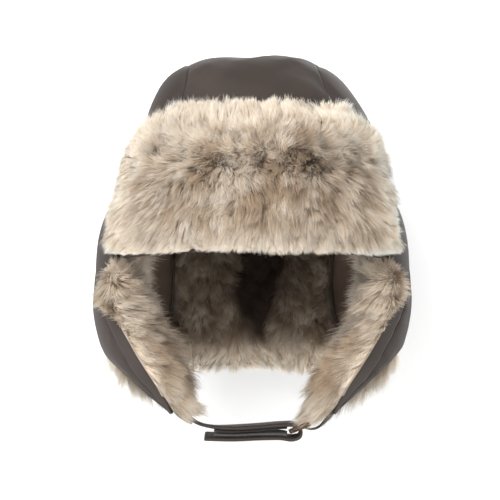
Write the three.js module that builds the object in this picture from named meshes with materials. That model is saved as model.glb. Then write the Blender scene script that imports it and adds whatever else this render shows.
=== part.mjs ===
// A child's trapper hat: a padded shell of coated cloth, a turned-up front flap, ear flaps that
// curve in along the jaw, deep fur inside and on the front flap, and a fastened chin strap.
// Millimetres, +Z up. The front faces -Y and +X is to the right as the hat is seen from the front.
// The origin is the highest point inside the lining, where the top of the head sits.
// Angles are in degrees. Azimuth runs round the hat from 0 at the front through 90 on the right,
// or -90 on the left, to 180 at the back. Elevation is seen from the middle of the head hollow.
import * as THREE from "three";

const DEGREE = Math.PI / 180;

// Body of the hat
const MIDDLE = new THREE.Vector3(0, 5, -75.8);
const ROUNDNESS = 2.12;
const BODY = [
  { elevation: 90, side: 78.6, front: 78.6, back: 78.6, lean: 1.0 },
  { elevation: 80, side: 79.8, front: 79.8, back: 79.6, lean: 1.0 },
  { elevation: 70, side: 83.4, front: 83.6, back: 82.8, lean: 1.0 },
  { elevation: 60, side: 88.5, front: 89.4, back: 88.2, lean: 0.6 },
  { elevation: 50, side: 89.0, front: 93.2, back: 90.8, lean: 0.4 },
  { elevation: 40, side: 86.2, front: 93.8, back: 90.5, lean: 1.6 },
  { elevation: 30, side: 83.6, front: 92.6, back: 89.0, lean: 3.2 },
  { elevation: 20, side: 82.4, front: 91.4, back: 87.7, lean: 3.4 },
  { elevation: 10, side: 83.6, front: 91.0, back: 87.3, lean: 2.4 },
  { elevation: 0, side: 86.6, front: 92.4, back: 88.4, lean: 1.2 },
  { elevation: -10, side: 96.4, front: 96.4, back: 92.4, lean: 0.8 },
  { elevation: -20, side: 106.0, front: 103.5, back: 97.8, lean: 0.2 },
  { elevation: -30, side: 116.6, front: 112.0, back: 105.5, lean: 0 },
  { elevation: -40, side: 131.0, front: 123.5, back: 115.5, lean: 0 },
  { elevation: -50, side: 146.0, front: 136.5, back: 130.5, lean: 0 },
  { elevation: -60, side: 154.0, front: 151.0, back: 150.0, lean: 0 },
  { elevation: -70, side: 163.0, front: 163.0, back: 171.0, lean: 0 },
];

// Layers, measured inwards from the outer face of the shell
const SHELL_THICKNESS = 1.6;
const SHELL_PUFF = 1.3;
const LINING_DEPTH = 2.4;
const LINING_THICKNESS = 1.0;
const FUR_BACKING_DEPTH = 5.4;
const TIP_BACKING_DEPTH = 7.4;
const TIP_BAND_DEPTH = 3.9;
const SEAM_GAP = 0.13;

// Seams and edges
const CROWN_SEAM = -8;
const FOREHEAD_EDGE = -24.7;
const NAPE_SEAM = 140;
const TIP_AZIMUTH = 50.5;
const TIP_BAND_AZIMUTH = 53;
const STRIP_HALF_WIDTH = [
  { angle: -12, width: 50 },
  { angle: 20, width: 49.5 },
  { angle: 36, width: 48 },
  { angle: 50, width: 42.5 },
  { angle: 64, width: 41 },
  { angle: 90, width: 45 },
  { angle: 120, width: 50 },
  { angle: 150, width: 49 },
  { angle: 192, width: 44 },
];
const FLAP_FRONT_EDGE = [
  { elevation: -66, azimuth: 49 },
  { elevation: -62, azimuth: 45.5 },
  { elevation: -58, azimuth: 45 },
  { elevation: -53, azimuth: 47 },
  { elevation: -48, azimuth: 50 },
  { elevation: -43, azimuth: 53.5 },
  { elevation: -37, azimuth: 56 },
  { elevation: -29, azimuth: 57 },
  { elevation: -18, azimuth: 55 },
  { elevation: -6, azimuth: 51 },
];
const FLAP_PANEL_SEAM = [
  { elevation: -66, azimuth: 51 },
  { elevation: -62, azimuth: 50.5 },
  { elevation: -56, azimuth: 55 },
  { elevation: -47, azimuth: 60.5 },
  { elevation: -40, azimuth: 68 },
  { elevation: -35, azimuth: 76 },
  { elevation: -25, azimuth: 92 },
  { elevation: -6, azimuth: 106 },
];
const LOWER_EDGE = [
  { azimuth: 46, left: -64.5, right: -64.5 },
  { azimuth: 51, left: -65.2, right: -65 },
  { azimuth: 57, left: -61.6, right: -60.2 },
  { azimuth: 66, left: -55, right: -53.2 },
  { azimuth: 75, left: -50.8, right: -48.8 },
  { azimuth: 86, left: -49, right: -46.8 },
  { azimuth: 96, left: -49.2, right: -46.4 },
  { azimuth: 110, left: -49.6, right: -47.4 },
  { azimuth: 130, left: -50.4, right: -50.4 },
  { azimuth: 155, left: -52.4, right: -52.4 },
  { azimuth: 180, left: -53.2, right: -53.2 },
];

// Front flap, turned up against the crown: how far round it reaches at each height
const FRONT_FLAP_EDGE = [
  { elevation: -27, azimuth: 52 },
  { elevation: -20, azimuth: 52.5 },
  { elevation: -10, azimuth: 52.5 },
  { elevation: -2, azimuth: 54 },
  { elevation: 6, azimuth: 55 },
  { elevation: 12, azimuth: 53 },
  { elevation: 16, azimuth: 48 },
  { elevation: 19, azimuth: 41 },
  { elevation: 21, azimuth: 33 },
];
const FRONT_FLAP_TOP = 21;
const FRONT_FLAP_CLEARANCE = 2.2;
const FRONT_FUR_GAP = 0.8;
const FRONT_FLAP_FOLD = [
  { share: 0, elevation: -26.5, outward: -1.6 },
  { share: 0.1, elevation: -25.6, outward: -0.7 },
  { share: 0.2, elevation: -24.6, outward: 0.5 },
  { share: 0.3, elevation: -22.3, outward: 1.6 },
  { share: 0.4, elevation: -16.7, outward: FRONT_FLAP_CLEARANCE },
  { share: 1, elevation: FRONT_FLAP_TOP, outward: FRONT_FLAP_CLEARANCE },
];

// Soft folds of the crown: middle, direction of the crease (0 lies along the azimuth), half
// length and half width in degrees, and height in millimetres
const FOLDS = [
  { azimuth: 8, elevation: 48, turn: 38, length: 14, width: 6, height: 1.3 },
  { azimuth: -2, elevation: 38, turn: 34, length: 18, width: 5, height: -1.0 },
  { azimuth: 33, elevation: 40, turn: -32, length: 14, width: 4, height: -1.4 },
  { azimuth: 58, elevation: 22, turn: -50, length: 20, width: 6, height: 1.3 },
  { azimuth: -52, elevation: 26, turn: 52, length: 18, width: 6, height: -1.2 },
  { azimuth: 150, elevation: 30, turn: 60, length: 24, width: 8, height: 1.4 },
];

// Fur: height of a lock's tip above the mean pile, depth of the parting between locks, how far a
// tip leans along the hair, and steps from one root to the next
const LOCK_RISE = 3.6;
const LOCK_PART = 1.8;
const LOCK_LEAN = 3.0;
const LOCK_STEPS = 4;

// Section of the ear flap's fur, from its hair laid back over the outer cloth, round the front
// edge, to its rear end inside. Across is a share of the flap's width, ahead is millimetres
// forward of that and out is millimetres outward of the shell's outer face.
const FRONT_FUR_CORNER = 2;
const EAR_FUR_SECTION = [
  { at: 0.0, back: 0, backAhead: -3.5, backOut: 1.9, pile: 0, pileAhead: -10, pileOut: 3.6 },
  { at: 0.1, back: 0, backAhead: 1.0, backOut: 1.9, pile: 0, pileAhead: -2, pileOut: 10.5 },
  { at: 0.2, back: 0, backAhead: 2.0, backOut: -1.0, pile: 0, pileAhead: 8, pileOut: 8 },
  { at: 0.3, back: 0, backAhead: 1.0, backOut: -FUR_BACKING_DEPTH, pile: 0, pileAhead: 13, pileOut: -3 },
  { at: 0.4, back: 0.08, backAhead: 0, backOut: -FUR_BACKING_DEPTH, pile: 0, pileAhead: 12, pileOut: -15 },
  { at: 0.52, back: 0.26, backAhead: 0, backOut: -FUR_BACKING_DEPTH, pile: 0.08, pileAhead: 4, pileOut: -24 },
  { at: 0.74, back: 0.62, backAhead: 0, backOut: -FUR_BACKING_DEPTH, pile: 0.5, pileAhead: 0, pileOut: -22 },
  { at: 1.0, back: 1, backAhead: 0, backOut: -FUR_BACKING_DEPTH, pile: 1, pileAhead: 0, pileOut: -10 },
];
const EAR_FUR_PARTING = 0.14;
// How much of the shell's front edge the fur covers from outside, down each flap
const EAR_FUR_COVER = [
  { share: 0, left: 1, right: 0.8 },
  { share: 0.25, left: 0.9, right: 0.55 },
  { share: 0.4, left: 0.4, right: 0.25 },
  { share: 0.55, left: 0.05, right: 0.1 },
  { share: 0.7, left: 0, right: 0 },
  { share: 1, left: 0, right: 0 },
];
// What changes in the section where the fur stops at the shell's edge
const EAR_FUR_BARE = [
  { at: 0, backAhead: 3.2, pileAhead: 11, pileOut: -0.8 },
  { at: 0.1, backAhead: 0.8, pileAhead: 7, pileOut: -6 },
  { at: 0.2, backAhead: 0, pileAhead: 2, pileOut: -3.5 },
  { at: 0.3, backAhead: 0, pileAhead: 0, pileOut: 0 },
  { at: 1, backAhead: 0, pileAhead: 0, pileOut: 0 },
];
// How far the lobes of fur reach inwards, down each flap
const EAR_FUR_INWARD = [
  { share: 0, left: -2.5, right: 0 },
  { share: 0.1, left: -1.5, right: 1 },
  { share: 0.25, left: 0.5, right: 2.5 },
  { share: 0.4, left: 3.5, right: 3 },
  { share: 0.55, left: 7.5, right: 2.5 },
  { share: 0.7, left: 11.5, right: 6.5 },
  { share: 0.85, left: 13.5, right: 17.5 },
  { share: 0.95, left: 12, right: 19.5 },
  { share: 1, left: 10.5, right: 18 },
];
const EAR_FUR_TOP = { outside: -29.7, inside: -13, shoulder: 3, rise: 1.5 };
const EAR_FUR_DROP = { left: 19, right: 24 };
const EAR_FUR_HEM = {
  left: { angle: 1.2, drop: 3.2 },
  right: { angle: 2, drop: 8.5 },
};
const EAR_FUR_HEM_DEPTH = 4.2;
const TIP_HEM_DEPTH = 8.6;
const EAR_FUR_TIP_ANGLE = 4.5;
const NAPE_FUR_FRINGE = 5;
const EAR_FUR_REAR = [
  { share: 0, azimuth: 112 },
  { share: 0.6, azimuth: 119 },
  { share: 1, azimuth: 126 },
];
const NAPE_FUR_END = [
  { share: 0, azimuth: 142 },
  { share: 0.7, azimuth: 141 },
  { share: 0.88, azimuth: 135 },
  { share: 1, azimuth: 131 },
];

// Chin strap: centre line from the left ear flap, over the ring's bar and back below itself.
// Tilt is how far its near edge hangs below its far edge.
const STRAP_WIDTH = 20;
const STRAP_THICKNESS = 2.0;
const STRAP_ROUTE = [
  { x: -44.5, y: -33.4, z: -221.4, tilt: 0 },
  { x: -40, y: -34.8, z: -224.2, tilt: 0 },
  { x: -34, y: -36.6, z: -228.0, tilt: 1 },
  { x: -25, y: -38, z: -230.2, tilt: 4 },
  { x: -10, y: -38, z: -230.6, tilt: 6 },
  { x: 5, y: -38, z: -229.7, tilt: 6 },
  { x: 19, y: -38, z: -228.6, tilt: 6 },
  { x: 26, y: -38, z: -228.8, tilt: 6 },
  { x: 29.8, y: -38, z: -231.6, tilt: 7 },
  { x: 29.2, y: -38, z: -235.6, tilt: 9 },
  { x: 24.8, y: -38, z: -237.2, tilt: 11 },
  { x: 17, y: -38, z: -236.1, tilt: 12 },
  { x: 4, y: -38, z: -236.0, tilt: 12 },
  { x: -12, y: -38, z: -236.6, tilt: 12 },
  { x: -30, y: -38, z: -236.2, tilt: 12 },
];
const TIP_BAND_WIDTH = 12;
const PATCH_WIDTH = 16;
const PATCH_THICKNESS = 1.0;
const PATCH_FROM = -24;
const PATCH_TO = 21.5;
const PATCH_GAP = 0.42;

// Ring: a flat rectangular loop, its long bars along Y
const RING_CENTRE = { x: 29.6, y: -38, z: -230.8 };
const RING_LENGTH = 27.5;
const RING_HEIGHT = 14.5;
const RING_BAR = 3.0;
const RING_CORNER = 3.4;
const RING_TURN = 22;

// Material colours
const COLOURS = {
  shell: 0x5a4f4a,
  lining: 0x6b5d52,
  fur: 0xcbb8a2,
  innerFur: 0x8a7460,
  tab: 0x807a6c,
  strap: 0x4b423d,
  patch: 0x2a1f19,
  ring: 0x6a5442,
};

// Reads a column of a table at a place between its rows, on a smooth curve through them.
function reading(table, key, place, name) {
  const rising = table[table.length - 1][key] > table[0][key];
  let i = 0;
  while (i < table.length - 2 && (rising ? place > table[i + 1][key] : place < table[i + 1][key])) {
    i += 1;
  }
  const slope = (a, b) => (table[b][name] - table[a][name]) / (table[b][key] - table[a][key]);
  const span = table[i + 1][key] - table[i][key];
  const here = slope(i, i + 1);
  const before = i > 0 ? (slope(i - 1, i) + here) / 2 : here;
  const after = i < table.length - 2 ? (slope(i + 1, i + 2) + here) / 2 : here;
  const t = Math.min(Math.max((place - table[i][key]) / span, 0), 1);
  const square = t * t;
  const cube = square * t;
  return (
    (2 * cube - 3 * square + 1) * table[i][name] +
    (cube - 2 * square + t) * span * before +
    (3 * square - 2 * cube) * table[i + 1][name] +
    (cube - square) * span * after
  );
}

function mix(a, b, share) {
  return a + (b - a) * share;
}

function smoothstep(low, high, value) {
  const t = Math.min(Math.max((value - low) / (high - low), 0), 1);
  return t * t * (3 - 2 * t);
}

// Unit vector from the middle of the hollow
function heading(azimuth, elevation) {
  const level = Math.cos(elevation * DEGREE);
  return new THREE.Vector3(
    level * Math.sin(azimuth * DEGREE),
    -level * Math.cos(azimuth * DEGREE),
    Math.sin(elevation * DEGREE),
  );
}

function elevationOf(direction) {
  return Math.asin(Math.min(Math.max(direction.z, -1), 1)) / DEGREE;
}

function azimuthOf(direction) {
  return Math.atan2(direction.x, -direction.y) / DEGREE;
}

function bodyRadius(direction) {
  const elevation = elevationOf(direction);
  const level = Math.hypot(direction.x, direction.y);
  if (level < 1e-6) {
    return BODY[0].side;
  }
  const ends = direction.y < 0 ? "front" : "back";
  const sideways = Math.abs(direction.x) / level / reading(BODY, "elevation", elevation, "side");
  const lengthways = Math.abs(direction.y) / level / reading(BODY, "elevation", elevation, ends);
  return (sideways ** ROUNDNESS + lengthways ** ROUNDNESS) ** (-1 / ROUNDNESS);
}

// Height of the soft folds at a place on the crown
function foldHeight(direction) {
  const azimuth = azimuthOf(direction);
  const elevation = elevationOf(direction);
  let height = 0;
  for (const fold of FOLDS) {
    const round = (azimuth - fold.azimuth) * Math.cos(elevation * DEGREE);
    const up = elevation - fold.elevation;
    const along = round * Math.cos(fold.turn * DEGREE) + up * Math.sin(fold.turn * DEGREE);
    const aside = up * Math.cos(fold.turn * DEGREE) - round * Math.sin(fold.turn * DEGREE);
    height += fold.height * Math.exp(-((along / fold.length) ** 2) - (aside / fold.width) ** 2);
  }
  return height;
}

function bodySurface(direction) {
  const lean = reading(BODY, "elevation", elevationOf(direction), "lean");
  return direction
    .clone()
    .multiplyScalar(bodyRadius(direction) + foldHeight(direction))
    .add(MIDDLE)
    .add(new THREE.Vector3(lean, 0, 0));
}

// A point a given distance outward of the shell's outer face
function offBody(direction, outward) {
  const step = 0.004;
  const helper = Math.abs(direction.z) < 0.9 ? new THREE.Vector3(0, 0, 1) : new THREE.Vector3(0, 1, 0);
  const first = new THREE.Vector3().crossVectors(helper, direction).normalize();
  const second = new THREE.Vector3().crossVectors(direction, first);
  const at = (axis, amount) =>
    bodySurface(direction.clone().addScaledVector(axis, amount).normalize());
  const alongFirst = at(first, step).sub(at(first, -step));
  const alongSecond = at(second, step).sub(at(second, -step));
  const normal = alongFirst.cross(alongSecond).normalize();
  return bodySurface(direction).addScaledVector(normal, outward);
}

function levelRadius(azimuth, elevation) {
  const direction = heading(azimuth, elevation);
  return bodyRadius(direction) * Math.cos(elevation * DEGREE);
}

// A closed solid from points and triangles: shared points are welded, flat triangles dropped and
// the faces turned outward.
function solid(points, triangles) {
  const places = new Map();
  const welded = [];
  const remap = points.map((point) => {
    const key = point.toArray().map((value) => Math.round(value * 2000)).join(",");
    if (!places.has(key)) {
      places.set(key, welded.length);
      welded.push(point);
    }
    return places.get(key);
  });
  const kept = triangles
    .map((triangle) => triangle.map((corner) => remap[corner]))
    .filter(([a, b, c]) => a !== b && b !== c && c !== a);
  let volume = 0;
  for (const [a, b, c] of kept) {
    volume += welded[a].dot(new THREE.Vector3().crossVectors(welded[b], welded[c]));
  }
  const ordered = volume > 0 ? kept : kept.map(([a, b, c]) => [a, c, b]);
  const geometry = new THREE.BufferGeometry().setFromPoints(welded);
  geometry.setIndex(ordered.flat());
  return geometry;
}

// A closed sheet: point(u, v, side) gives its outer face at side 0 and its inner face at side 1.
function sheet(point, columns, rows, wrapped = false) {
  const points = [];
  const triangles = [];
  const across = columns + 1;
  const face = across * (rows + 1);
  for (const side of [0, 1]) {
    for (let j = 0; j <= rows; j += 1) {
      for (let i = 0; i <= columns; i += 1) {
        points.push(point(i / columns, j / rows, side));
      }
    }
  }
  const quad = (a, b, c, d) => {
    if (points[a].distanceTo(points[c]) <= points[b].distanceTo(points[d])) {
      triangles.push([a, b, c], [a, c, d]);
    } else {
      triangles.push([a, b, d], [b, c, d]);
    }
  };
  for (let j = 0; j < rows; j += 1) {
    for (let i = 0; i < columns; i += 1) {
      const a = j * across + i;
      quad(a, a + 1, a + across + 1, a + across);
      quad(face + a, face + a + across, face + a + across + 1, face + a + 1);
    }
  }
  for (let i = 0; i < columns; i += 1) {
    const last = rows * across + i;
    quad(i + 1, i, face + i, face + i + 1);
    quad(last, last + 1, face + last + 1, face + last);
  }
  for (let j = 0; j < rows && !wrapped; j += 1) {
    const first = j * across;
    const last = first + columns;
    quad(first, first + across, face + first + across, face + first);
    quad(last + across, last, face + last, face + last + across);
  }
  return solid(points, triangles);
}

// Repeatable variation between 0 and 1
function variation(column, row) {
  const wave = Math.sin(column * 12.9898 + row * 78.233) * 437.5453;
  return wave - Math.floor(wave);
}

// A pad of fur fused to a plain backing. Its locks run in ribs along the flow, each rising from
// its root to its tip, with partings between. Flow is the hair's direction as steps in u and v.
function furPad(backing, pile, flow, columns, rows) {
  const points = [];
  const triangles = [];
  const fineColumns = 2 * columns;
  const fineRows = 2 * rows;
  const across = fineColumns + 1;
  for (let j = 0; j <= fineRows; j += 1) {
    for (let i = 0; i <= fineColumns; i += 1) {
      const [u, v] = [i / fineColumns, j / fineRows];
      const inside = i > 0 && i < fineColumns && j > 0 && j < fineRows;
      const [du, dv] = flow(u, v);
      const top = pile(u, v);
      const growth = top.clone().sub(backing(u, v)).normalize();
      const hair = pile(u + 0.01 * du, v + 0.01 * dv).sub(top).normalize();
      const [rib, along] = Math.abs(du) > Math.abs(dv) ? [j, i * Math.sign(du)] : [i, j * Math.sign(dv)];
      const place = along + Math.floor(LOCK_STEPS * variation(rib, 1)) + 100 * LOCK_STEPS;
      const stage = (place % LOCK_STEPS) / (LOCK_STEPS - 1);
      const size = mix(0.55, 1.35, variation(rib, Math.floor(place / LOCK_STEPS)));
      if (inside && rib % 2 === 1) {
        top.addScaledVector(growth, LOCK_RISE * stage * size).addScaledVector(hair, LOCK_LEAN * stage);
      } else if (inside) {
        top.addScaledVector(growth, -LOCK_PART * mix(0.4, 1.2, variation(rib, along)));
      } else if ((i + j) % 2 === 1) {
        top.addScaledVector(hair, LOCK_LEAN * size);
      }
      points.push(top);
    }
  }
  for (let j = 0; j < fineRows; j += 1) {
    for (let i = 0; i < fineColumns; i += 1) {
      const a = j * across + i;
      const [b, c, d] = [a + 1, a + across + 1, a + across];
      if ((i + j) % 2 === 0) {
        triangles.push([a, b, c], [a, c, d]);
      } else {
        triangles.push([a, b, d], [b, c, d]);
      }
    }
  }
  const face = points.length;
  const coarse = columns + 1;
  for (let j = 0; j <= rows; j += 1) {
    for (let i = 0; i <= columns; i += 1) {
      points.push(backing(i / columns, j / rows));
    }
  }
  for (let j = 0; j < rows; j += 1) {
    for (let i = 0; i < columns; i += 1) {
      const a = face + j * coarse + i;
      triangles.push([a, a + coarse + 1, a + 1], [a, a + coarse, a + coarse + 1]);
    }
  }
  const wall = (start, middle, end, low, high) => {
    triangles.push([start, low, middle], [middle, low, high], [middle, high, end]);
  };
  for (let i = 0; i < columns; i += 1) {
    const far = fineRows * across + 2 * i;
    const farBack = face + rows * coarse + i;
    wall(2 * i, 2 * i + 1, 2 * i + 2, face + i, face + i + 1);
    wall(far + 2, far + 1, far, farBack + 1, farBack);
  }
  for (let j = 0; j < rows; j += 1) {
    const near = 2 * j * across;
    const far = near + fineColumns;
    const nearBack = face + j * coarse;
    const farBack = nearBack + columns;
    wall(near + 2 * across, near + across, near, nearBack + coarse, nearBack);
    wall(far, far + across, far + 2 * across, farBack, farBack + coarse);
  }
  return solid(points, triangles);
}

function puff(u, v) {
  return SHELL_PUFF * (1 - (2 * u - 1) ** 6) * (1 - (2 * v - 1) ** 6);
}

// Direction of the point of the crown that lies a given distance to the side, in a plane
// through the hat's cross axis at an angle from the front, over the top, to the back.
function overCrown(angle, aside) {
  const direction = new THREE.Vector3();
  let reach = 85;
  for (let i = 0; i < 24; i += 1) {
    direction.set(aside, -reach * Math.cos(angle * DEGREE), reach * Math.sin(angle * DEGREE));
    direction.normalize();
    const radius = bodyRadius(direction);
    reach = Math.sqrt(Math.max(radius * radius - aside * aside, 1));
  }
  return direction;
}

// Azimuth of the point of the crown seam that lies a given distance to the side
function seamAzimuth(aside, behind) {
  let low = 0;
  let high = 85;
  for (let i = 0; i < 30; i += 1) {
    const middle = (low + high) / 2;
    const azimuth = behind ? 180 - middle : middle;
    const reach = levelRadius(azimuth, CROWN_SEAM + SEAM_GAP) * Math.sin(azimuth * DEGREE);
    if (reach < Math.abs(aside)) {
      low = middle;
    } else {
      high = middle;
    }
  }
  return (behind ? 180 - low : low) * Math.sign(aside || 1);
}

// Angle over the crown of the same point
function seamAngle(aside, behind) {
  const direction = heading(seamAzimuth(aside, behind), CROWN_SEAM + SEAM_GAP);
  const angle = Math.atan2(direction.z, -direction.y) / DEGREE;
  return behind && angle < 0 ? angle + 360 : angle;
}

function stripEdge(share, side, gap) {
  const width = (angle) => side * (reading(STRIP_HALF_WIDTH, "angle", angle, "width") + gap);
  const start = seamAngle(width(-9), false);
  const end = seamAngle(width(189), true);
  const angle = mix(start, end, share);
  return overCrown(angle, width(angle));
}

function crownCentre() {
  const point = (u, v, side) => {
    const width = (angle) => (2 * u - 1) * (reading(STRIP_HALF_WIDTH, "angle", angle, "width") - 0.2);
    const angle = mix(seamAngle(width(-9), false), seamAngle(width(189), true), v);
    return offBody(overCrown(angle, width(angle)), puff(u, v) - side * SHELL_THICKNESS);
  };
  return sheet(point, 10, 18);
}

function crownSide(side) {
  const first = azimuthOf(stripEdge(0, side, 0.2));
  const last = azimuthOf(stripEdge(1, side, 0.2));
  const point = (u, v, face) => {
    const seam = stripEdge(u, side, 0.2);
    const base = heading(mix(first, last, u), CROWN_SEAM + SEAM_GAP);
    const direction = seam.multiplyScalar(bodyRadius(seam));
    direction.lerp(base.multiplyScalar(bodyRadius(base)), v).normalize();
    return offBody(direction, puff(u, v) - face * SHELL_THICKNESS);
  };
  return sheet(point, 18, 7);
}

function foreheadBand() {
  const reach = reading(FLAP_FRONT_EDGE, "elevation", CROWN_SEAM, "azimuth") - 1.2;
  const point = (u, v, side) => {
    const direction = heading(
      mix(-reach, reach, u),
      mix(CROWN_SEAM - SEAM_GAP, FOREHEAD_EDGE + 0.4, v),
    );
    return offBody(direction, -side * SHELL_THICKNESS);
  };
  return sheet(point, 12, 2);
}

// Half of the front flap's width in degrees, at a height
function flapReach(elevation) {
  return reading(FRONT_FLAP_EDGE, "elevation", elevation, "azimuth");
}

function frontFlapShell() {
  const point = (u, v, side) => {
    const elevation = reading(FRONT_FLAP_FOLD, "share", v, "elevation");
    const outward = reading(FRONT_FLAP_FOLD, "share", v, "outward");
    const reach = flapReach(elevation);
    return offBody(heading(mix(-reach, reach, u), elevation), outward + (1 - side) * SHELL_THICKNESS);
  };
  return sheet(point, 16, 10);
}

function frontFlapFur() {
  const back = FRONT_FLAP_CLEARANCE + SHELL_THICKNESS + FRONT_FUR_GAP;
  const rim = (u, v) => {
    const inset = Math.min(u, 1 - u, 0.8 * v + 0.03, 0.7 * (1 - v) + 0.03);
    return Math.min(Math.max(5.5 * inset, 0), 1);
  };
  const backing = (u, v) => {
    const elevation = mix(FOREHEAD_EDGE - 0.4, FRONT_FLAP_TOP - 0.4, v);
    const reach = flapReach(elevation) - 0.5;
    return offBody(heading(mix(-reach, reach, u), elevation), back);
  };
  const pile = (u, v) => {
    const corner = FRONT_FUR_CORNER * smoothstep(0.7, 1, Math.abs(2 * u - 1));
    const elevation = mix(FOREHEAD_EDGE - 2.0 + corner, FRONT_FLAP_TOP + 3.5, v);
    const reach = flapReach(Math.min(elevation, FRONT_FLAP_TOP)) + 3.5;
    const depth = mix(5, 18, Math.sqrt(rim(u, v)));
    return offBody(heading(mix(-reach, reach, u), elevation), back + depth);
  };
  const flow = (u, v) => [0.3 * (u - 0.5), v > 0.8 ? 1 : -1];
  return furPad(backing, pile, flow, 18, 8);
}

function earFlapFront(side) {
  const point = (u, v, face) => {
    const elevation = mix(CROWN_SEAM - SEAM_GAP, -65.4, v);
    const front = reading(FLAP_FRONT_EDGE, "elevation", elevation, "azimuth");
    const rear = reading(FLAP_PANEL_SEAM, "elevation", elevation, "azimuth") - 2 * SEAM_GAP;
    const bulge = puff(u, v) * 0.8 - face * SHELL_THICKNESS;
    return offBody(heading(side * mix(front, rear, u), elevation), bulge);
  };
  return sheet(point, 4, 12);
}

// The lower edge's elevation at an azimuth from -180 on the left to 360
function lowerEdge(azimuth) {
  const left = azimuth < 0 || azimuth > 180;
  const fromFront = Math.min(Math.abs(azimuth), 360 - azimuth);
  return reading(LOWER_EDGE, "azimuth", fromFront, left ? "left" : "right");
}

function earFlapRear(side) {
  const point = (u, v, face) => {
    const end = mix(TIP_AZIMUTH + 2, NAPE_SEAM - 2 * SEAM_GAP, u);
    const low = lowerEdge(side * end);
    const elevation = mix(CROWN_SEAM - SEAM_GAP, low, v);
    const tip = lowerEdge(side * (TIP_AZIMUTH + 2));
    const seamHeight = mix(CROWN_SEAM, tip, v);
    const seam = reading(FLAP_PANEL_SEAM, "elevation", seamHeight, "azimuth") + 2 * SEAM_GAP;
    const azimuth = mix(seam, NAPE_SEAM - 2 * SEAM_GAP, u);
    return offBody(heading(side * azimuth, elevation), puff(u, v) - face * SHELL_THICKNESS);
  };
  return sheet(point, 8, 12);
}

function napePanel() {
  const point = (u, v, side) => {
    const azimuth = mix(NAPE_SEAM + 2 * SEAM_GAP, 360 - NAPE_SEAM - 2 * SEAM_GAP, u);
    const low = lowerEdge(azimuth);
    const elevation = mix(CROWN_SEAM - SEAM_GAP, low, v);
    return offBody(heading(azimuth, elevation), puff(u, v) - side * SHELL_THICKNESS);
  };
  return sheet(point, 10, 7);
}

function crownLining() {
  const point = (u, v, side) => {
    const azimuth = 360 * u;
    const fromFront = Math.min(azimuth, 360 - azimuth);
    const rim = mix(-23.5, -44, smoothstep(72, 92, fromFront));
    const elevation = mix(90, rim, v);
    return offBody(heading(azimuth, elevation), -LINING_DEPTH - side * LINING_THICKNESS);
  };
  return sheet(point, 28, 9, true);
}

function earFlapFur(side) {
  const hand = side < 0 ? "left" : "right";
  const hem = EAR_FUR_HEM[hand];
  const place = (u, v, kind) => {
    const pile = kind === "pile";
    const beyond = pile ? 1 : 0;
    const column = (name) => reading(EAR_FUR_SECTION, "at", u, kind + name);
    const bare = 1 - reading(EAR_FUR_COVER, "share", v, hand);
    const ahead = column("Ahead") + bare * reading(EAR_FUR_BARE, "at", u, kind + "Ahead");
    const across = column("");
    const rear = reading(EAR_FUR_REAR, "share", v, "azimuth");
    const end = mix(TIP_AZIMUTH, rear, across);
    const hung = mix(-EAR_FUR_TIP_ANGLE, hem.angle, smoothstep(0.0, 0.14, across));
    const held = -EAR_FUR_TIP_ANGLE * (1 - smoothstep(0.15, 0.3, u));
    const low = lowerEdge(side * end) + 0.8 - (pile ? hung : held);
    const rise = beyond * mix(EAR_FUR_TOP.shoulder, EAR_FUR_TOP.rise, smoothstep(0.1, 0.3, u));
    const top = mix(EAR_FUR_TOP.outside, EAR_FUR_TOP.inside, smoothstep(0.3, 0.55, u)) + rise;
    const elevation = mix(top, low, v);
    const front = reading(FLAP_FRONT_EDGE, "elevation", elevation, "azimuth");
    const azimuth = mix(front, rear, across) - ahead / levelRadius(front, elevation) / DEGREE;
    const ends = smoothstep(0, 0.1, v) * (1 - 0.75 * smoothstep(0.86, 1, v));
    const deep = smoothstep(-54, -60, elevation) * (TIP_BACKING_DEPTH - FUR_BACKING_DEPTH);
    const inside = smoothstep(0.4, 0.6, u);
    let outward = column("Out");
    if (pile && outward > 0) {
      outward = (outward + bare * reading(EAR_FUR_BARE, "at", u, "pileOut")) * mix(0.5, 1, ends);
    } else if (pile) {
      outward = mix(-8, outward, mix(0.35, 1, ends));
      const hemDepth = mix(EAR_FUR_HEM_DEPTH, TIP_HEM_DEPTH, smoothstep(-51, -57, elevation));
      outward = mix(outward, -hemDepth, inside * smoothstep(0.8, 1, v));
    } else if (outward < 0) {
      outward -= deep;
    }
    const lobe = beyond * (1 - smoothstep(0.54, 0.74, u));
    const inward = lobe * smoothstep(0.14, 0.4, u) * reading(EAR_FUR_INWARD, "share", v, hand);
    const fall = lobe * smoothstep(0.04, 0.3, u);
    const hang = beyond * smoothstep(0.56, 0.7, u) * (1 - 0.6 * smoothstep(0.8, 1, u));
    const drop = (EAR_FUR_DROP[hand] * fall + hem.drop * hang) * smoothstep(0.72, 1, v);
    const point = offBody(heading(side * azimuth, elevation), outward);
    return point.add(new THREE.Vector3(-side * inward, 0, -drop));
  };
  const flow = (u) => [u < EAR_FUR_PARTING ? -1 : 1, 0.4];
  const backing = (u, v) => place(u, v, "back");
  const pile = (u, v) => place(u, v, "pile");
  return furPad(backing, pile, flow, 9, 11);
}

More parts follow.
